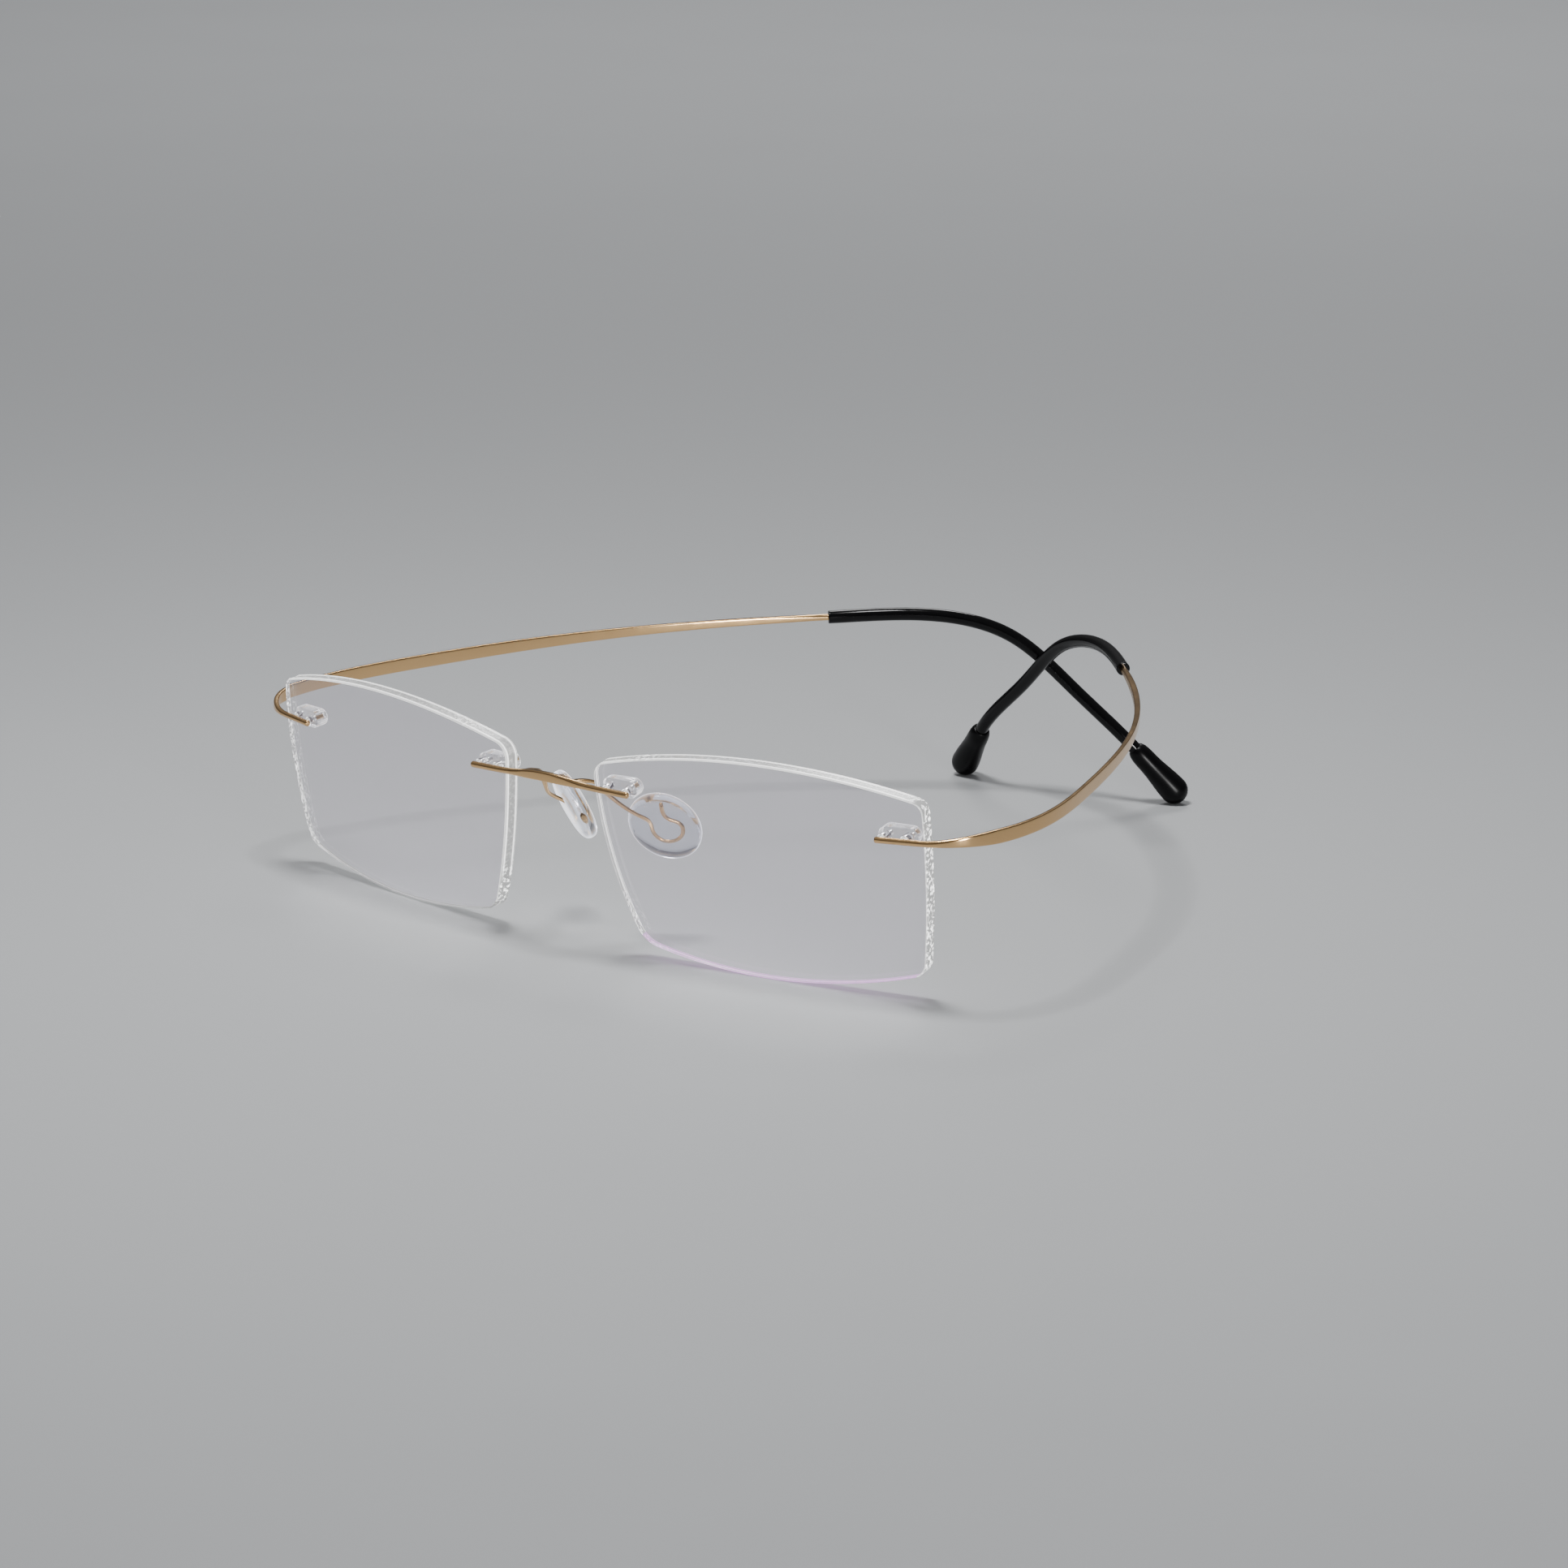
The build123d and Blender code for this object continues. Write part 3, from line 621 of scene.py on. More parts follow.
def bar_tree():
    """A bar along a rail: its section goes from round to flat by the rail's own attributes."""
    sockets = [("Sides", "NodeSocketInt", 32), ("Material", "NodeSocketMaterial", None)]
    tree, given = new_tree("Bar Along Rail", sockets)
    place = add(tree, "GeometryNodeInputPosition")
    rail = add(tree, "GeometryNodeMeshToCurve", {"Mesh": given["Geometry"]})
    for name, value in (("rail_place", place), ("rail_along", add(tree, "GeometryNodeInputTangent"))):
        links = {"Geometry": rail, "Name": name, "Value": value}
        rail = add(tree, "GeometryNodeStoreNamedAttribute", links, data_type="FLOAT_VECTOR")
    ring = add(tree, "GeometryNodeCurvePrimitiveCircle", {"Resolution": given["Sides"], "Radius": 1.0})
    links = {"Geometry": ring, "Name": "ring_place", "Value": place}
    ring = add(tree, "GeometryNodeStoreNamedAttribute", links, data_type="FLOAT_VECTOR")
    skin = add(tree, "GeometryNodeCurveToMesh", {"Curve": rail, "Profile Curve": ring, "Fill Caps": True})

    held = {}
    for kind, names in (
        ("FLOAT_VECTOR", ("rail_place", "rail_along", "ring_place")),
        ("FLOAT", ("across", "height", "square")),
    ):
        for name in names:
            held[name] = add(tree, "GeometryNodeInputNamedAttribute", {"Name": name}, data_type=kind)

    along = held["rail_along"]
    level = add(tree, "ShaderNodeVectorMath", {0: along, 1: (0, 0, 1)}, operation="CROSS_PRODUCT")
    side = add(tree, "ShaderNodeVectorMath", {0: level}, operation="NORMALIZE")
    up = add(tree, "ShaderNodeVectorMath", {0: side, 1: along}, operation="CROSS_PRODUCT")
    parts = add(tree, "ShaderNodeSeparateXYZ", {0: held["ring_place"]}).outputs
    power = add(tree, "ShaderNodeMath", {0: 2.0, 1: held["square"]}, operation="DIVIDE")
    spot = held["rail_place"]
    for way, part, size in ((side, parts[0], "across"), (up, parts[1], "height")):
        whole = add(tree, "ShaderNodeMath", {0: part}, operation="ABSOLUTE")
        squared = add(tree, "ShaderNodeMath", {0: whole, 1: power}, operation="POWER")
        sign = add(tree, "ShaderNodeMath", {0: part}, operation="SIGN")
        signed = add(tree, "ShaderNodeMath", {0: squared, 1: sign}, operation="MULTIPLY")
        double = add(tree, "ShaderNodeMath", {0: signed, 1: held[size]}, operation="MULTIPLY")
        reach = add(tree, "ShaderNodeMath", {0: double, 1: 0.5}, operation="MULTIPLY")
        step = add(tree, "ShaderNodeVectorMath", {0: way, "Scale": reach}, operation="SCALE")
        spot = add(tree, "ShaderNodeVectorMath", {0: spot, 1: step}, operation="ADD")
    skin = add(tree, "GeometryNodeSetPosition", {"Geometry": skin, "Position": spot})
    finish_tree(tree, skin, given["Material"])
    return tree


def peg_tree():
    """A round peg at every point, turned to the point's own axis."""
    sockets = [
        ("Diameter", "NodeSocketFloat", 0.001),
        ("Length", "NodeSocketFloat", 0.004),
        ("Material", "NodeSocketMaterial", None),
    ]
    tree, given = new_tree("Pegs At Points", sockets)
    radius = add(tree, "ShaderNodeMath", {0: given["Diameter"], 1: 0.5}, operation="MULTIPLY")
    links = {"Vertices": 28, "Radius": radius, "Depth": given["Length"]}
    peg = add(tree, "GeometryNodeMeshCylinder", links)
    axis = add(tree, "GeometryNodeInputNamedAttribute", {"Name": "axis"}, data_type="FLOAT_VECTOR")
    turn = add(tree, "FunctionNodeAlignRotationToVector", {"Vector": axis}, axis="Z")
    points = add(tree, "GeometryNodeMeshToPoints", {"Mesh": given["Geometry"]})
    links = {"Points": points, "Instance": peg, "Rotation": turn}
    finish_tree(tree, add(tree, "GeometryNodeInstanceOnPoints", links), given["Material"])
    return tree


class Bar:
    """Stations along a bar: a place, a width across, a height and how square the section is."""

    END_STEPS = 6

    def __init__(self):
        self.places, self.across, self.height, self.square = [], [], [], []

    def station(self, place, across, height, square=2.0):
        self.places.append(np.array(place, float))
        self.across.append(float(across))
        self.height.append(float(height))
        self.square.append(float(square))

    def rounded_end(self, end, inward, across, height, soft, closing=False):
        """Stations of a softened end at end, where inward points into the bar."""
        turns = [math.pi / 2 * step / self.END_STEPS for step in range(self.END_STEPS + 1)]
        for turn in (reversed(turns) if closing else turns):
            loss = 2 * soft * (1 - math.sin(turn))
            place = end + unit(inward) * soft * (1 - math.cos(turn))
            self.station(place, across - loss, height - loss)

    def straight(self, start, end, across, height, steps):
        for step in range(1, steps):
            self.station(start + (end - start) * step / steps, across, height)

    def along(self, route, start, end, steps, size):
        """Stations along a route; size gives across, height and square at a share of its length."""
        shares = np.linspace(start, end, steps + 1)
        for part, place in zip(shares, route.at(shares)):
            self.station(place, *size(part))

    def build(self, name, material, sides=32):
        count = len(self.places)
        made = new_object(name, self.places, edges=[(i, i + 1) for i in range(count - 1)])
        for label in ("across", "height", "square"):
            attribute = made.data.attributes.new(label, "FLOAT", "POINT")
            attribute.data.foreach_set("value", getattr(self, label))
        tree = bpy.data.node_groups.get("Bar Along Rail") or bar_tree()
        run_tree(made, tree, {"Sides": sides, "Material": material})
        face_outwards(made)
        smooth(made)
        for label in ("across", "height", "square", "rail_place", "rail_along", "ring_place"):
            attribute = made.data.attributes.get(label)
            if attribute:
                made.data.attributes.remove(attribute)
        return made


# ---- materials ----
NOISE_SPAN = {"From Min": 0.3, "From Max": 0.7}  # nearly all values of a noise lie in between
RIM_POWER = 3.5  # how closely a clear body's painted glow keeps to its outline
GRAZING_POWER, GRAZING_LOSS = 3.0, 0.6  # how a clear face stops light that only grazes it
# how bright the painted glow on a lens edge is at shares of its thickness from the front: one painted
# highlight line near each face
PAINTED_EDGE_LINES = ((0.08, 1.0), (0.17, 0.04), (0.66, 0.02), (0.78, 0.12), (0.86, 1.0), (0.93, 0.1))


def new_material(name):
    """The material of this name, with its empty tree where it is new."""
    material = bpy.data.materials.get(name)
    if material:
        return material, None
    material = bpy.data.materials.new(name)
    material.use_nodes = True
    material.node_tree.nodes.clear()
    return material, material.node_tree


def surface_noise(tree, grain, detail=3.0):
    """Noise on the piece's own coordinates; grain is the size of its grains in millimetres."""
    spot = add(tree, "ShaderNodeTexCoord").outputs["Object"]
    links = {"Vector": spot, "Scale": 1 / (grain * MM), "Detail": detail, "Roughness": 0.55}
    return add(tree, "ShaderNodeTexNoise", links)


def solid_body(name, look, dullness, patches, grain, depth, detail=3.0):
    """An opaque finish: look holds its plain settings, dullness its least and most roughness.

    patches and grain are the sizes of its duller patches and of its surface grain, and depth is the
    height of that grain, all in millimetres.
    """
    material, tree = new_material(name)
    if tree:
        low, high = dullness
        links = {"Value": surface_noise(tree, patches), **NOISE_SPAN, "To Min": low, "To Max": high}
        rough = add(tree, "ShaderNodeMapRange", links)
        links = {"Height": surface_noise(tree, grain, detail), "Distance": depth * MM}
        normal = add(tree, "ShaderNodeBump", links)
        body = add(tree, "ShaderNodeBsdfPrincipled", {**look, "Roughness": rough, "Normal": normal})
        add(tree, "ShaderNodeOutputMaterial", {"Surface": body})
    return material


def plated_titanium():
    """Beta titanium wire and sheet, cold rolled, satin polished and ion plated in rose gold.

    The satin polish spreads highlights a little along each piece, and the plating gives a warm,
    even metal colour with slightly duller patches.
    """
    look = {"Base Color": settings("finish").metal, "Metallic": 1.0}
    grain = 0.3  # the polishing grain, drawn about ten times too coarse so that it shows
    name = "rose gold plated titanium, satin polished"
    return solid_body(name, look, (0.13, 0.20), 2.5, grain, 0.0006, detail=2.0)


def let_lamps_through(tree, body, passed):
    """Ends a clear material: the eye sees body, and a lamp's light loses all but passed of itself."""
    light = add(tree, "ShaderNodeBsdfTransparent", {"Color": passed})
    ray = add(tree, "ShaderNodeLightPath").outputs["Is Shadow Ray"]
    mix = add(tree, "ShaderNodeMixShader", {0: ray, 1: body, 2: light})
    add(tree, "ShaderNodeOutputMaterial", {"Surface": mix})


def clear_body(name, tint, ior, roughness, shade, painted_glow, skin=None, rim=False):
    """A clear solid; lamps shine through it, and each face that they meet lets shade of them pass.

    A face that the light only grazes lets less pass. Its glow, a colour and a strength, is painted light
    standing in for what the body scatters; rim gathers it along the outline into a painted rim highlight.
    skin gives the size and the height of its surface marks in millimetres.
    """
    material, tree = new_material(name)
    if tree:
        glow_tint, strength = painted_glow
        facing = add(tree, "ShaderNodeLayerWeight", {"Blend": 0.5}).outputs["Facing"]
        if rim:
            outline = add(tree, "ShaderNodeMath", {0: facing, 1: RIM_POWER}, operation="POWER")
            strength = add(tree, "ShaderNodeMath", {0: outline, 1: strength}, operation="MULTIPLY")
        links = {
            "Base Color": tint,
            "IOR": ior,
            "Roughness": roughness,
            "Transmission Weight": 1.0,
            "Emission Color": glow_tint,
            "Emission Strength": strength,
        }
        if skin:
            size, depth = skin
            marks = {"Height": surface_noise(tree, size), "Distance": depth * MM}
            links["Normal"] = add(tree, "ShaderNodeBump", marks)
        # the emission here is painted light: the body glows though it is no lamp
        body = add(tree, "ShaderNodeBsdfPrincipled", links)
        grazing = add(tree, "ShaderNodeMath", {0: facing, 1: GRAZING_POWER}, operation="POWER")
        lost = add(tree, "ShaderNodeMath", {0: grazing, 1: GRAZING_LOSS}, operation="MULTIPLY")
        passed = add(tree, "ShaderNodeMath", {0: shade, 1: lost}, operation="SUBTRACT")
        let_lamps_through(tree, body, passed)
    return material


def lens_resin():
    """Cast lens resin, polished, with an anti-reflection coating.

    The coating takes most of the glare away and leaves a faint violet sheen, painted on as a weak glow.
    """
    finish = settings("finish")
    return clear_body("lens resin, coated", finish.resin, 1.5, 0.0, 0.98, (finish.coating, 0.016))


def edge_with_painted_glow(name, tint, low, high, shade):
    """Resin edge with a painted glow, though it is no lamp, that stands in for light the lens leads out.

    Two painted highlight lines run along a smooth edge, one near each face. Where the edge is crinkled
    they break up into painted glints. The attribute over goes from 0 at the front face to 1 at the back
    one, and crinkle says how crinkled the edge is. low and high are the painted glow's dimmest and brightest
    strengths.
    """
    material, tree = new_material(name)
    if tree:
        over = add(tree, "ShaderNodeAttribute", attribute_name="over").outputs["Fac"]
        crinkle = add(tree, "ShaderNodeAttribute", attribute_name="crinkle").outputs["Fac"]
        # painted highlight lines across the edge's thickness
        lines = add(tree, "ShaderNodeValToRGB", {"Fac": over})
        stops = lines.color_ramp.elements
        stops[0].color, stops[1].color = (0.3, 0.3, 0.3, 1), (0.35, 0.35, 0.35, 1)
        for place, bright in PAINTED_EDGE_LINES:
            stops.new(place).color = (bright, bright, bright, 1)
        # painted glints: the brightest spots of this noise light up the painted glow
        waves = surface_noise(tree, 0.5, detail=4.0)
        links = {"Value": waves, "From Min": 0.51, "From Max": 0.62, "To Min": 0.0, "To Max": 1.0}
        glints = add(tree, "ShaderNodeMapRange", links)
        gap = add(tree, "ShaderNodeMath", {0: glints, 1: lines}, operation="SUBTRACT")
        change = add(tree, "ShaderNodeMath", {0: gap, 1: crinkle}, operation="MULTIPLY")
        bright = add(tree, "ShaderNodeMath", {0: lines, 1: change}, operation="ADD")
        above = add(tree, "ShaderNodeMath", {0: bright, 1: high - low}, operation="MULTIPLY")
        links = {
            "Base Color": (0.25, 0.25, 0.25, 1.0),
            "Roughness": 0.1,
            "IOR": 1.5,
            "Alpha": 0.86,
            # the emission is painted light: the edge glows though it is no lamp
            "Emission Color": tint,
            "Emission Strength": add(tree, "ShaderNodeMath", {0: above, 1: low}, operation="ADD"),
            "Normal": add(tree, "ShaderNodeBump", {"Height": waves, "Distance": 0.05 * MM}),
        }
        body = add(tree, "ShaderNodeBsdfPrincipled", links)
        let_lamps_through(tree, body, (shade, shade, shade, 1.0))
    return material


def lens_edge_painted_glow():
    """The resin's edge, cut and buffed by hand, with painted bright lines that break into small painted
    glints.
    """
    return edge_with_painted_glow("lens resin, polished edge, painted glow", settings("finish").edge, 0.34, 4.0, 0.25)


def bevel_painted_lilac():
    """The left lens's lower bevel, with the coating's pale lilac reflection painted on as a glow."""
    return edge_with_painted_glow("lens resin, bevel, painted lilac reflection", settings("finish").bevel, 0.8, 1.9, 0.45)


def bevel_painted_grey():
    """The right lens's lower bevel: a dim painted glow, grey like the table, in place of the painted lilac
    reflection.
    """
    return edge_with_painted_glow("lens resin, bevel, painted grey glow", settings("finish").edge, 0.12, 0.9, 0.45)


def clear_plug():
    """Moulded polycarbonate, glossy, clear as water, with faint flow marks."""
    plug, flow = settings("finish").plug, (0.9, 0.03)
    # the plug's colour also paints a glow along its outline: a painted rim highlight
    return clear_body("polycarbonate, moulded clear", plug, 1.58, 0.02, 0.75, (plug, 1.6), flow, rim=True)


def clear_silicone():
    """Moulded silicone rubber, soft, clear, with a faint cool tint and a slightly greasy gloss."""
    tint, skin = settings("finish").silicone, (1.6, 0.02)
    # the silicone's tint also paints a glow along its outline: a painted rim highlight
    return clear_body("silicone rubber, moulded clear", tint, 1.41, 0.03, 0.85, (tint, 2.2), skin, rim=True)


def black_sleeve():
    """Extruded silicone tube, shrunk on the wire: a glossy skin with one clean highlight."""
    look = {"Base Color": settings("finish").sleeve, "Specular IOR Level": 0.22}
    return solid_body("silicone tube, extruded black", look, (0.08, 0.15), 4.0, 0.5, 0.002)


def black_bulb():
    """Moulded rubber from a satin mould: soft, faint highlights on deep black."""
    look = {"Base Color": settings("finish").bulb, "Specular IOR Level": 0.16}
    return solid_body("rubber, moulded satin black", look, (0.27, 0.34), 4.0, 0.25, 0.004)


def painted(made, *materials):
    made.data.materials.clear()
    for material in materials:
        made.data.materials.append(material)


# ---- pieces ----
IN_SLEEVE = 4 * MM  # how far the wire runs on inside its black sleeve
IN_BULB = 2.9 * MM  # how far the sleeve runs on inside the bulb
LOW_BEVEL = 0.40  # the lower bevel starts this share of the lens's height below its centre


def build_lens(plan):
    """The left lens: two concentric faces, a polished chamfer round both, and a rippled edge."""
    lens, holder = plan.lens, plan.holder
    outer, inner = plan.outline(0.0), plan.outline(lens.edge_break)
    count, rows = len(outer), 6
    inward = [unit(b - a) for a, b in zip(outer, inner)]
    face_shares = [0.04, 0.12] + [0.12 + 0.88 * step / 14 for step in range(1, 15)]

    def face_rings(shares, depth):
        scaled = [[point * part for point in inner] for part in shares]
        return [[plan.in_lens(u, v, -depth(u, v)) for u, v in points] for points in scaled]

    rings = face_rings(face_shares, plan.sag)
    for row in range(rows + 1):
        ring = []
        for i, (u, v) in enumerate(outer):
            front = -plan.sag(u, v) - lens.edge_break
            back = -plan.back_sag(u, v) + lens.edge_break
            wave = edge_wave(i / count, row, rows) * ripple_amount(u / lens.width, v / lens.height)
            spot = np.array((u, v)) + inward[i] * lens.ripple * wave
            ring.append(plan.in_lens(spot[0], spot[1], front + (back - front) * row / rows))
        rings.append(ring)
    rings += face_rings(reversed(face_shares), plan.back_sag)
    front_pole, back_pole = plan.in_lens(0, 0, 0), plan.in_lens(0, 0, -plan.back_sag(0, 0))
    made = rings_to_object("lens_glass_left", rings, front_pole, back_pole)
    painted(made, lens_resin(), lens_edge_painted_glow(), bevel_painted_lilac())
    first = len(face_shares) - 1
    # the lower bevel takes the painted lilac reflection, the rest of the edge the painted glow
    for band in range(first, first + rows + 2):
        for i in range(count):
            low = outer[i][1] < -LOW_BEVEL * lens.height
            made.data.polygons[band * count + i].material_index = 2 if low else 1
    mark_edge(made, len(face_shares), rows, outer, lens)
    face_outwards(made)
    for u, v in peg_spots(plan):
        centre = plan.in_lens(u, v, -plan.sag(u, v) - lens.thickness / 2)
        radius = holder.sleeve / 2 + holder.press_gap
        cut(made, cylinder(centre, plan.forward, radius, 3 * lens.thickness))
    smooth(made, crease=24)
    return made


def mark_edge(made, first, rows, outer, lens):
    """Stores how far each edge point is across the lens's thickness, and how crinkled the edge is."""
    count = len(outer)
    over = [0.0] * len(made.data.vertices)
    crinkle = [0.0] * len(over)
    for row in range(rows + 1):
        for i, (u, v) in enumerate(outer):
            place = (first + row) * count + i
            over[place] = row / rows
            crinkle[place] = ripple_amount(u / lens.width, v / lens.height)
    for name, values in (("over", over), ("crinkle", crinkle)):
        made.data.attributes.new(name, "FLOAT", "POINT").data.foreach_set("value", values)


def edge_wave(turn, row, rows):
    """A wave from 0 to 1 along the lens edge that differs from row to row, like hand polishing."""
    if row in (0, rows):
        return 0.0
    # 31 slow and 67 quick waves go round the whole edge, each row's shifted from the last one's
    slow = math.sin(2 * math.pi * (31 * turn + 0.23 * row))
    quick = math.sin(2 * math.pi * (67 * turn - 0.41 * row))
    return 0.5 + 0.3 * slow + 0.2 * quick


def ripple_amount(across, up):
    """How wavy the edge is: most at the temple side, and at the nose on the top and low down.

    across and up are shares of the lens's width and height, from its centre.
    """
    at_temple = ease(across, 0.44, 0.48)
    at_nose = ease(-across, 0.28, 0.36) * max(ease(up, 0.42, 0.46), ease(-up, 0.16, 0.32))
    return 0.08 + 0.92 * max(at_temple, at_nose)


def peg_spots(plan):
    """The lens places of the two bridge pegs and the two temple pegs."""
    holder = plan.holder
    spots = []
    for tip, level, way in (
        (plan.bridge_tip_u, holder.bridge_level, -1),
        (plan.temple_tip_u, holder.temple_level, 1),
    ):
        first = tip + way * holder.peg_end
        spots += [(first, level), (first + way * holder.peg_spacing, level)]
    return spots


def build_plug(plan, name, spots):
    """A clear plug: a rounded double barrel behind the lens with two sleeves through its holes."""
    holder, lens = plan.holder, plan.lens
    (u_a, level), (u_b, _) = sorted(spots)
    middle = (u_a + u_b) / 2
    radius, half = holder.plug / 2, abs(u_b - u_a) / 2
    back = -plan.sag(middle, level) - lens.thickness - holder.plug_depth
    soft, sides = 0.35 * MM, 48
    profile = [(0.0, None), (0.0, back + soft)]
    profile += [(soft * (1 - math.cos(a)), back + soft * (1 - math.sin(a))) for a in (0.5, 1.0, math.pi / 2)]
    rings = []
    for inset, depth in profile:
        ring = []
        for i in range(sides):
            a = 2 * math.pi * (i + 0.5) / sides
            centre = middle + (half if math.cos(a) > 0 else -half)
            u, v = centre + (radius - inset) * math.cos(a), level + (radius - inset) * math.sin(a)
            ring.append(plan.in_lens(u, v, -plan.back_sag(u, v) if depth is None else depth))
        rings.append(ring)
    made = rings_to_object(name, rings)
    face_outwards(made)
    for u, v in spots:
        front = -plan.sag(u, v)
        centre = plan.in_lens(u, v, (front + back + soft) / 2)
        cut(made, cylinder(centre, plan.forward, holder.sleeve / 2, front - back - soft), "UNION")
    bore, through = holder.peg / 2 + holder.press_gap, 12 * MM
    for u, v in spots:
        centre = plan.in_lens(u, v, back / 2)
        cut(made, cylinder(centre, plan.forward, bore, through, sides=28))
    painted(made, clear_plug())
    smooth(made, crease=35)
    return made


def build_pegs(plan):
    """All eight pegs, from the rods they are welded to into the plugs."""
    holder, lens = plan.holder, plan.lens
    points, axes = [], []
    for u, v in peg_spots(plan):
        rod = holder.bridge_rod if u < 0 else holder.temple_rod
        top = holder.rod_gap + rod / 2 - plan.sag(u, v)
        bottom = -plan.sag(u, v) - lens.thickness - holder.plug_depth + holder.peg_tail
        points.append(plan.in_lens(u, v, (top + bottom) / 2))
        axes.append(plan.forward)
    made = new_object("lens_pegs", points + [mirrored(point) for point in points])
    attribute = made.data.attributes.new("axis", "FLOAT_VECTOR", "POINT")
    every_axis = np.array(axes + [mirrored(axis) for axis in axes])
    attribute.data.foreach_set("vector", every_axis.ravel())
    pegged = {"Diameter": holder.peg, "Length": top - bottom, "Material": plated_titanium()}
    run_tree(made, peg_tree(), pegged)
    smooth(made, crease=40)
    return made


def build_bridge(plan):
    """The bridge bar: two round rods and a flattened, facetted middle."""
    holder = plan.holder
    rod, neck = holder.bridge_rod, holder.bridge_rod * plan.NECKING

    def size(at):
        inward = 1 - abs(2 * at - 1)
        flat = ease(inward, 0.05, 0.85)
        across = neck + (holder.bridge_middle_depth - neck) * flat
        height = neck + (holder.bridge_middle_height - neck) * flat
        return across, height, 2.0 + 3.5 * ease(inward, 0.25, 0.95)

    bar = Bar()
    soft = 0.3 * rod
    tip, root = plan.bridge_tip, plan.bridge_root
    bar.rounded_end(tip, root - tip, rod, rod, soft)
    bar.straight(tip + unit(root - tip) * soft, root, rod, rod, 8)
    bar.along(plan.bridge, 0, 1, 90, size)
    tip, root = mirrored(tip), mirrored(root)
    bar.straight(root, tip + unit(root - tip) * soft, rod, rod, 8)
    bar.rounded_end(tip, root - tip, rod, rod, soft, closing=True)
    return bar.build("bridge_bar_satin", plated_titanium(), sides=48)


def build_temple(plan, name, side):
    """One temple in a single length: rod on the lens, bend, flat blade and the wire in the sleeve."""
    temple, holder = plan.temple, plan.holder
    rod = holder.temple_rod
    front, rear = rod * plan.NECKING, temple.wire * plan.NECKING
    flat_by, taper_from, round_from = 0.12, 0.35, 0.86  # shares of the blade's length

    def size(at):
        grow, taper = ease(at, 0.0, flat_by), ease(at, taper_from, 1.0)
        height = front + (temple.blade_height - front) * grow + (rear - temple.blade_height) * taper
        across = front + (temple.blade_thickness - front) * grow + (rear - temple.blade_thickness) * taper
        return across, height, 2.0 + 5.0 * (grow - ease(at, round_from, 1.0))

    bar = Bar()
    soft = 0.3 * rod
    tip, root = plan.temple_tip, plan.temple_root
    bar.rounded_end(tip, root - tip, rod, rod, soft)
    bar.straight(tip + unit(root - tip) * soft, root, rod, rod, 9)
    bar.along(plan.blade, 0, 1, 240, size)
    tail = plan.tail(side)
    inside = IN_SLEEVE / tail.length
    bar.along(tail, inside / 8, inside, 8, lambda at: (rear, rear, 2.0))
    return bar.build(name, plated_titanium(), sides=40)


def build_sleeve(plan, name, side):
    """The black sleeve: a tube with a soft mouth round the wire, down into the bulb."""
    temple = plan.temple
    cover = temple.cover
    tail = plan.tail(side)
    bar = Bar()
    start, ahead = tail.one(0), tail.one(0.004)
    soft = 0.16 * MM
    bar.rounded_end(start, ahead - start, cover, cover, soft)
    bar.along(tail, soft / tail.length * 1.5, 1, 110, lambda at: (cover, cover, 2.0))
    neck, ball = plan.tail_ends(side)
    bar.station(neck + unit(ball - neck) * IN_BULB, cover, cover)
    return bar.build(name, black_sleeve(), sides=40)


def build_bulb(plan, name, side):
    """The bulb: a drop with a soft lip at its mouth."""
    temple = plan.temple
    neck, ball = plan.tail_ends(side)
    radius, run = temple.bulb / 2, np.linalg.norm(ball - neck)
    mouth, lip, steps = temple.bulb_neck / 2, 0.14 * MM, 16
    waist = (0.78 * radius, 0.36 * run, 0)
    flank = Route([(mouth, 0, 0), waist, (radius, run, 0)], (0.5, 1, 0), (0, 1, 0))
    axis = unit(ball - neck)
    bar = Bar()
    for turn in (0.0, 0.5, 1.0):
        out = mouth - lip + lip * math.sin(turn)
        bar.station(neck + axis * lip * (1 - math.cos(turn)), 2 * out, 2 * out)
    for out, down, _ in flank.at(np.linspace(0.05, 1, 26)):
        bar.station(neck + axis * down, 2 * out, 2 * out)
    for step in range(1, steps + 1):
        turn = math.pi / 2 * step / steps
        out = max(radius * math.cos(turn), 0.01 * MM)
        bar.station(ball + axis * radius * math.sin(turn), 2 * out, 2 * out)
    return bar.build(name, black_bulb(), sides=48)


def build_pad_arm(plan):
    """The left pad arm: a strip from the bridge that narrows to a wire and loops inside the pad."""
    pad = plan.pad
    wire = pad.wire

    def size(at):
        narrow = ease(at, 0.05, 0.7)
        return pad.arm_width + (wire - pad.arm_width) * narrow, wire * 0.98, 4.0 - 2.0 * narrow

    bar = Bar()
    weld = 0.25 * MM  # how far the root reaches into the bridge bar
    root = plan.arm_root - (0, pad.root_gap + weld, 0)
    bar.station(root, pad.arm_width, wire, 4.0)
    bar.along(plan.arm, 0.012, 1, 70, size)
    bar.along(plan.loop, 0.01, 0.985, 90, lambda at: (wire, wire, 2.0))
    end, before = plan.loop.one(1), plan.loop.one(0.99)
    bar.rounded_end(end, before - end, wire, wire, wire * 0.45, closing=True)
    return bar.build("pad_arm_left", plated_titanium(), sides=24)


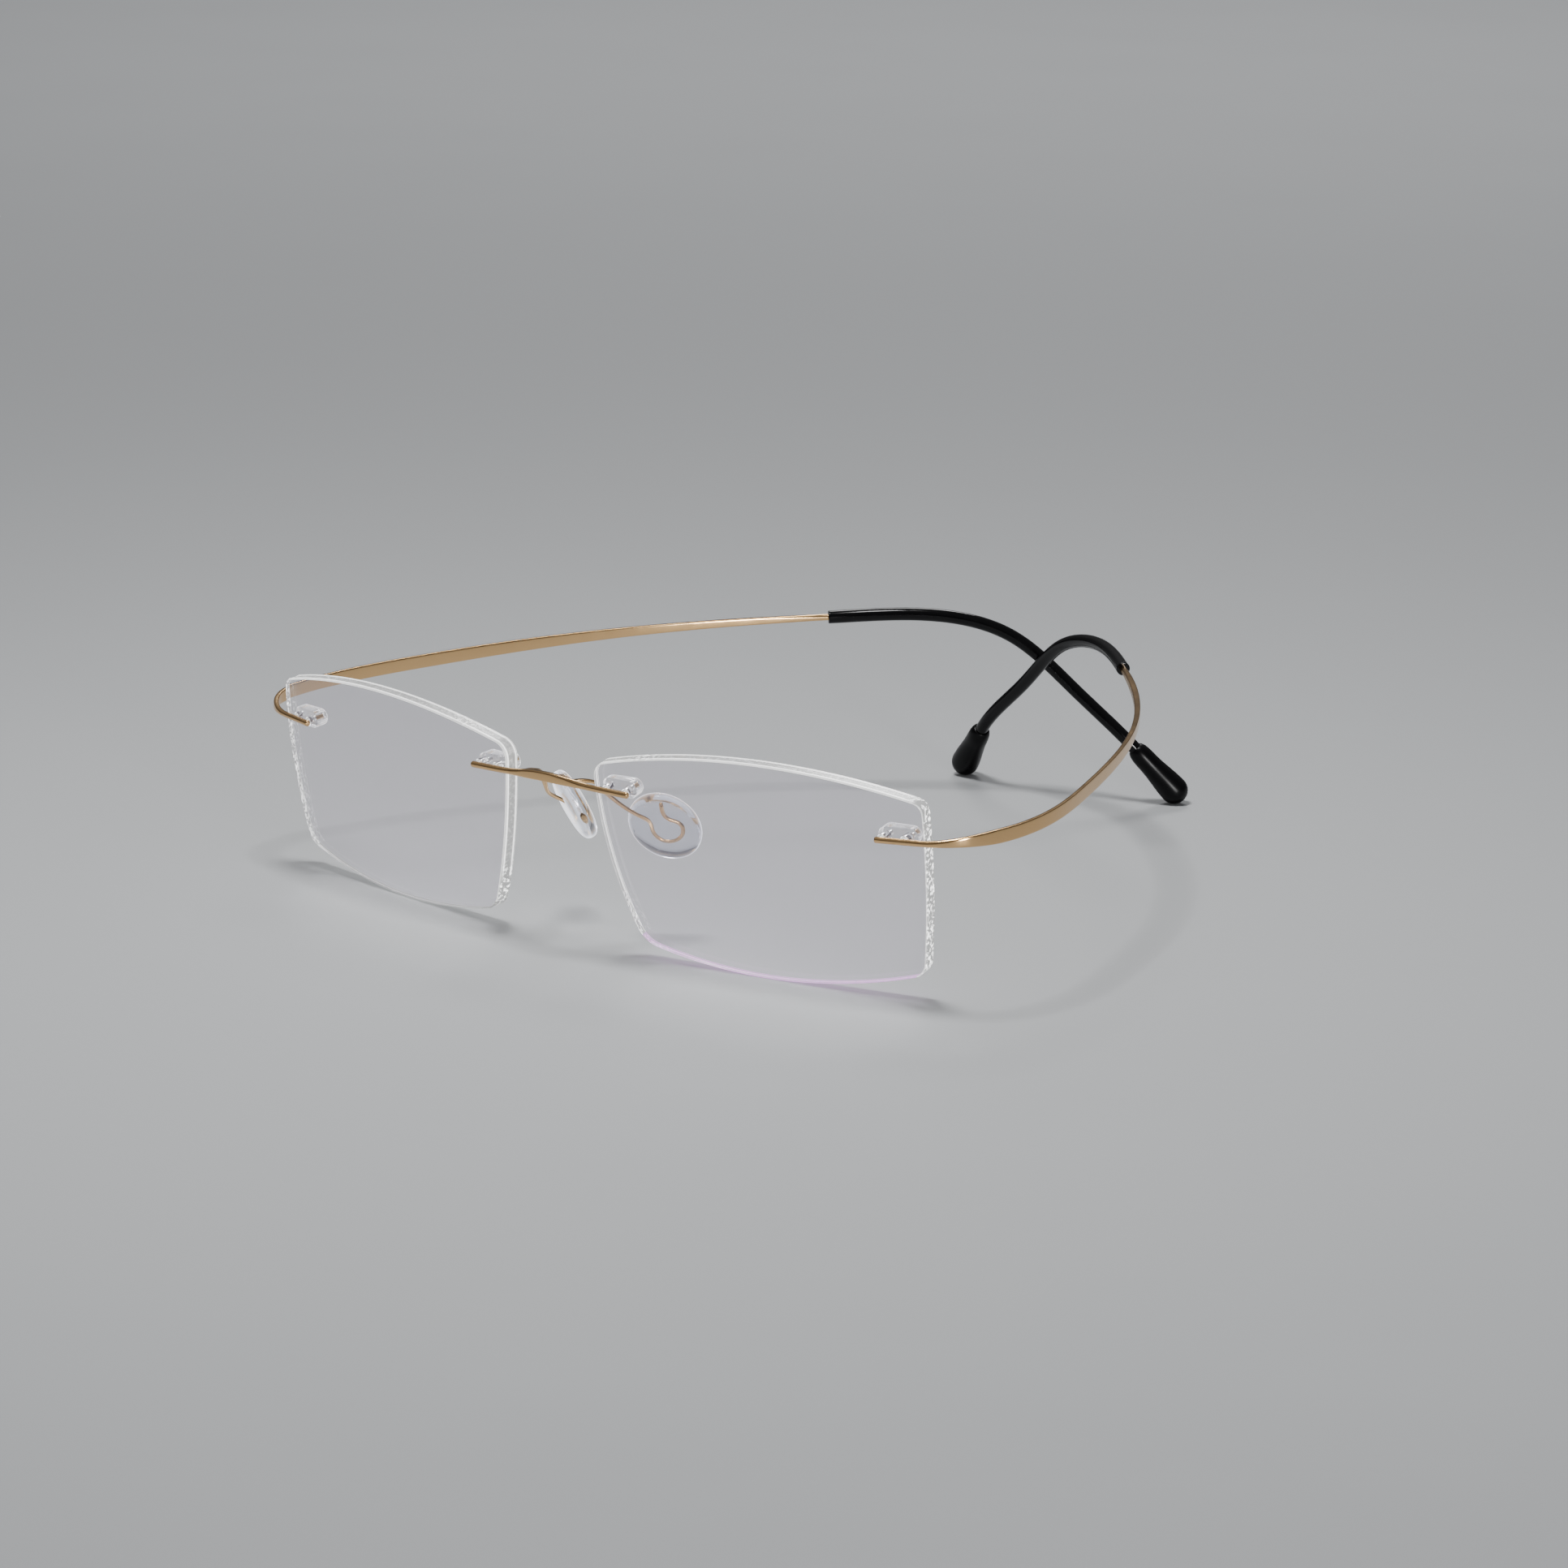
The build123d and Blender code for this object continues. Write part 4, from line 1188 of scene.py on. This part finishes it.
def build_pad(plan):
    """The left pad: an oval cushion with crowned faces and a soft rim."""
    pad = plan.pad
    rings = []
    steps, sides = 26, 96
    rim_power, crown_power = 0.42, 0.8  # under 1 is squarer than an ellipse
    for step in range(1, steps):
        turn = math.pi * step / steps
        out = math.sin(turn) ** rim_power
        height = math.copysign(abs(math.cos(turn)) ** crown_power, math.cos(turn)) * pad.thickness / 2
        ring = []
        for i in range(sides):
            a = 2 * math.pi * i / sides
            x, y = pad.pad_length / 2 * out * math.cos(a), pad.width / 2 * out * math.sin(a)
            ring.append(plan.in_pad(x, y, height))
        rings.append(ring)
    half = pad.thickness / 2
    made = rings_to_object("nose_pad_soft_left", rings, plan.in_pad(0, 0, half), plan.in_pad(0, 0, -half))
    painted(made, clear_silicone())
    face_outwards(made)
    smooth(made)
    return made


# ---- stage ----
LAMP_ASIDE, LAMP_POWER = -12 * MM, 1.75
# name, place, the point that it shines at, diameter and power
FAR_LIGHTS = (
    ("far lamp", (-0.60, 0.95, 1.0), (-0.60, 0.95, 0), 0.5, 9.0),
    ("side window", (0.85, -0.45, 0.10), (0.06, 0.02, 0.02), 0.18, 6.0),
)


def matt_floor():
    """A matt laminate table top: even, with a very faint cloudiness."""
    look = {"Base Color": settings("finish").floor, "Specular IOR Level": 0.3}
    return solid_body("table top, matt laminate", look, (0.62, 0.70), 60.0, 0.8, 0.01)


def area_light(name, place, aim, size, power):
    """A round lamp that the camera doesn't see; size is its diameter."""
    lamp = bpy.data.lights.new(name, "AREA")
    lamp.shape = "DISK"
    lamp.size = size
    lamp.energy = power
    made = bpy.data.objects.new(name, lamp)
    bpy.context.scene.collection.objects.link(made)
    made.visible_camera = False
    made.location = place
    made.rotation_euler = (Vector(aim) - Vector(place)).to_track_quat("-Z", "Y").to_euler()


def build_room():
    """The room's own light: brighter above and dim near the horizon, for dark reflections."""
    world = bpy.data.worlds.new("room")
    bpy.context.scene.world = world
    world.use_nodes = True
    tree = world.node_tree
    tree.nodes.clear()
    way = add(tree, "ShaderNodeTexCoord").outputs["Generated"]
    height = add(tree, "ShaderNodeSeparateXYZ", {0: way}).outputs["Z"]
    ramp = add(tree, "ShaderNodeValToRGB", {"Fac": height})
    bands = ((0.26, (0.10, 0.10, 0.103, 1)), (0.50, (0.24, 0.24, 0.245, 1)))
    for stop, (place, tint) in zip(ramp.color_ramp.elements, bands):
        stop.position, stop.color = place, tint
    light = add(tree, "ShaderNodeBackground", {"Color": ramp, "Strength": 1.0})
    add(tree, "ShaderNodeOutputWorld", {"Surface": light})


def build_camera(stage):
    a, e, r = stage.azimuth, stage.elevation, stage.roll
    back = Vector((math.sin(a) * math.cos(e), -math.cos(a) * math.cos(e), math.sin(e)))
    right = Vector((math.cos(a), math.sin(a), 0))
    up = back.cross(right)
    turned_right = right * math.cos(r) + up * math.sin(r)
    turned_up = up * math.cos(r) - right * math.sin(r)
    camera = bpy.data.objects.new("camera", bpy.data.cameras.new("camera"))
    bpy.context.scene.collection.objects.link(camera)
    turn = Matrix((turned_right, turned_up, back)).transposed().to_4x4()
    camera.matrix_world = Matrix.Translation(Vector(stage.target) + back * stage.distance) @ turn
    camera.data.sensor_width = 36.0
    camera.data.lens = stage.focal
    camera.data.clip_end = 50.0
    bpy.context.scene.camera = camera


# ---- operators ----
class EYEGLASSES_OT_stage(bpy.types.Operator):
    """Lay the floor and place the lamps and the camera"""

    bl_idname = "eyeglasses.stage"
    bl_label = "Stage"

    def execute(self, context):
        stage = settings("stage")
        half = stage.floor / 2
        corners = [(-half, -half, 0), (half, -half, 0), (half, half, 0), (-half, half, 0)]
        floor = new_object("floor", corners, [(0, 1, 2, 3)])
        painted(floor, matt_floor())
        area_light("lamp", (LAMP_ASIDE, 0.0, stage.lamp_height), (0, 0, 0), stage.lamp_size, LAMP_POWER)
        for lamp in FAR_LIGHTS:
            area_light(*lamp)
        build_room()
        build_camera(stage)
        return {"FINISHED"}


class EYEGLASSES_OT_lenses(bpy.types.Operator):
    """Make the two clear lenses"""

    bl_idname = "eyeglasses.lenses"
    bl_label = "Lenses"

    def execute(self, context):
        left = build_lens(Plan())
        right = mirror_copy(left, "lens_glass_right")
        # the right lens's lower bevel gets a dim painted grey glow instead of the painted lilac reflection
        right.data.materials[2] = bevel_painted_grey()
        for made, name in ((left, "left"), (right, "right")):
            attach(made, "front")
            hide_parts("lens_" + name)
        return {"FINISHED"}


class EYEGLASSES_OT_plugs(bpy.types.Operator):
    """Make the clear plugs and the pegs that they grip"""

    bl_idname = "eyeglasses.plugs"
    bl_label = "Plugs and Pegs"

    def execute(self, context):
        plan = Plan()
        spots = peg_spots(plan)
        for place, pair in (("bridge", spots[:2]), ("temple", spots[2:])):
            left = build_plug(plan, place + "_plug_clear_left", pair)
            right = mirror_copy(left, place + "_plug_clear_right")
            for made, name in ((left, "left"), (right, "right")):
                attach(made, "front")
                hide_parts(place + "_plug_" + name)
        pegs = build_pegs(plan)
        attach(pegs, "front")
        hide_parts(*[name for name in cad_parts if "_peg_" in name])
        return {"FINISHED"}


class EYEGLASSES_OT_bridge(bpy.types.Operator):
    """Make the bridge bar"""

    bl_idname = "eyeglasses.bridge"
    bl_label = "Bridge Bar"

    def execute(self, context):
        made = build_bridge(Plan())
        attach(made, "front")
        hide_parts("bridge_bar")
        return {"FINISHED"}


class EYEGLASSES_OT_temples(bpy.types.Operator):
    """Make the two temples, which bend from the lens edge back"""

    bl_idname = "eyeglasses.temples"
    bl_label = "Temples"

    def execute(self, context):
        plan = Plan()
        for name, side in SIDES:
            made = build_temple(plan, "temple_" + name, side)
            start, end = plan.temple_root, plan.blade.one(plan.TEMPLE_BEND_END)
            if side < 0:
                mirror(made)
                start, end = mirrored(start), mirrored(end)
            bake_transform(made)
            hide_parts("temple_mount_" + name, "temple_blade_" + name)
        return {"FINISHED"}


class EYEGLASSES_OT_tips(bpy.types.Operator):
    """Make the black sleeves and the bulbs"""

    bl_idname = "eyeglasses.tips"
    bl_label = "Sleeves and Bulbs"

    def execute(self, context):
        plan = Plan()
        for name, side in SIDES:
            pieces = (
                (build_sleeve(plan, "ear_sleeve_" + name, side), "temple_sleeve_", "black_sleeve"),
                (build_bulb(plan, "ear_bulb_" + name, side), "temple_bulb_", "black_bulb"),
            )
            for made, node, slot in pieces:
                if side < 0:
                    mirror(made)
                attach(made, "temple_" + name)
                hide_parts(node + name)
        return {"FINISHED"}


class EYEGLASSES_OT_pads(bpy.types.Operator):
    """Make the nose pads and their arms"""

    bl_idname = "eyeglasses.pads"
    bl_label = "Nose Pads"

    def execute(self, context):
        plan = Plan()
        left_arm, left_pad = build_pad_arm(plan), build_pad(plan)
        right_arm = mirror_copy(left_arm, "pad_arm_right")
        right_pad = mirror_copy(left_pad, "nose_pad_soft_right")
        for name, arm, pad, turn in (
            ("left", left_arm, left_pad, np.array),
            ("right", right_arm, right_pad, mirrored),
        ):
            start, end = turn(plan.arm_root), turn(plan.arm.one(plan.ARM_BEND_END))
            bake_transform(arm)
            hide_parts("nose_pad_arm_" + name)
            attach(pad, "pad_" + name)
            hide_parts("nose_pad_" + name)
        return {"FINISHED"}


class EYEGLASSES_PT_panel(bpy.types.Panel):
    bl_idname = "EYEGLASSES_PT_panel"
    bl_label = "Eyeglasses"
    bl_space_type = "VIEW_3D"
    bl_region_type = "UI"
    bl_category = "Eyeglasses"

    def draw(self, context):
        for name, _ in GROUPS:
            box = self.layout.box()
            box.label(text=name.title())
            group = settings(name)
            for prop in group.__annotations__:
                box.prop(group, prop)
        for operator in OPERATORS:
            self.layout.operator(operator.bl_idname)


GROUPS = (
    ("lens", LensSizes),
    ("holder", HolderSizes),
    ("temple", TempleSizes),
    ("pad", PadSizes),
    ("finish", Finishes),
    ("stage", StageSizes),
)
OPERATORS = (
    EYEGLASSES_OT_stage,
    EYEGLASSES_OT_lenses,
    EYEGLASSES_OT_plugs,
    EYEGLASSES_OT_bridge,
    EYEGLASSES_OT_temples,
    EYEGLASSES_OT_tips,
    EYEGLASSES_OT_pads,
)


def register():
    for name, group in GROUPS:
        bpy.utils.register_class(group)
        setattr(bpy.types.Scene, "eyeglasses_" + name, bpy.props.PointerProperty(type=group))
    for operator in OPERATORS:
        bpy.utils.register_class(operator)
    bpy.utils.register_class(EYEGLASSES_PT_panel)


def unregister():
    bpy.utils.unregister_class(EYEGLASSES_PT_panel)
    for operator in reversed(OPERATORS):
        bpy.utils.unregister_class(operator)
    for name, group in reversed(GROUPS):
        delattr(bpy.types.Scene, "eyeglasses_" + name)
        bpy.utils.unregister_class(group)


def main():
    register()
    bpy.ops.eyeglasses.stage()
    bpy.ops.eyeglasses.lenses()
    bpy.ops.eyeglasses.plugs()
    bpy.ops.eyeglasses.bridge()
    bpy.ops.eyeglasses.temples()
    bpy.ops.eyeglasses.tips()
    bpy.ops.eyeglasses.pads()


if __name__ == "__main__":
    main()
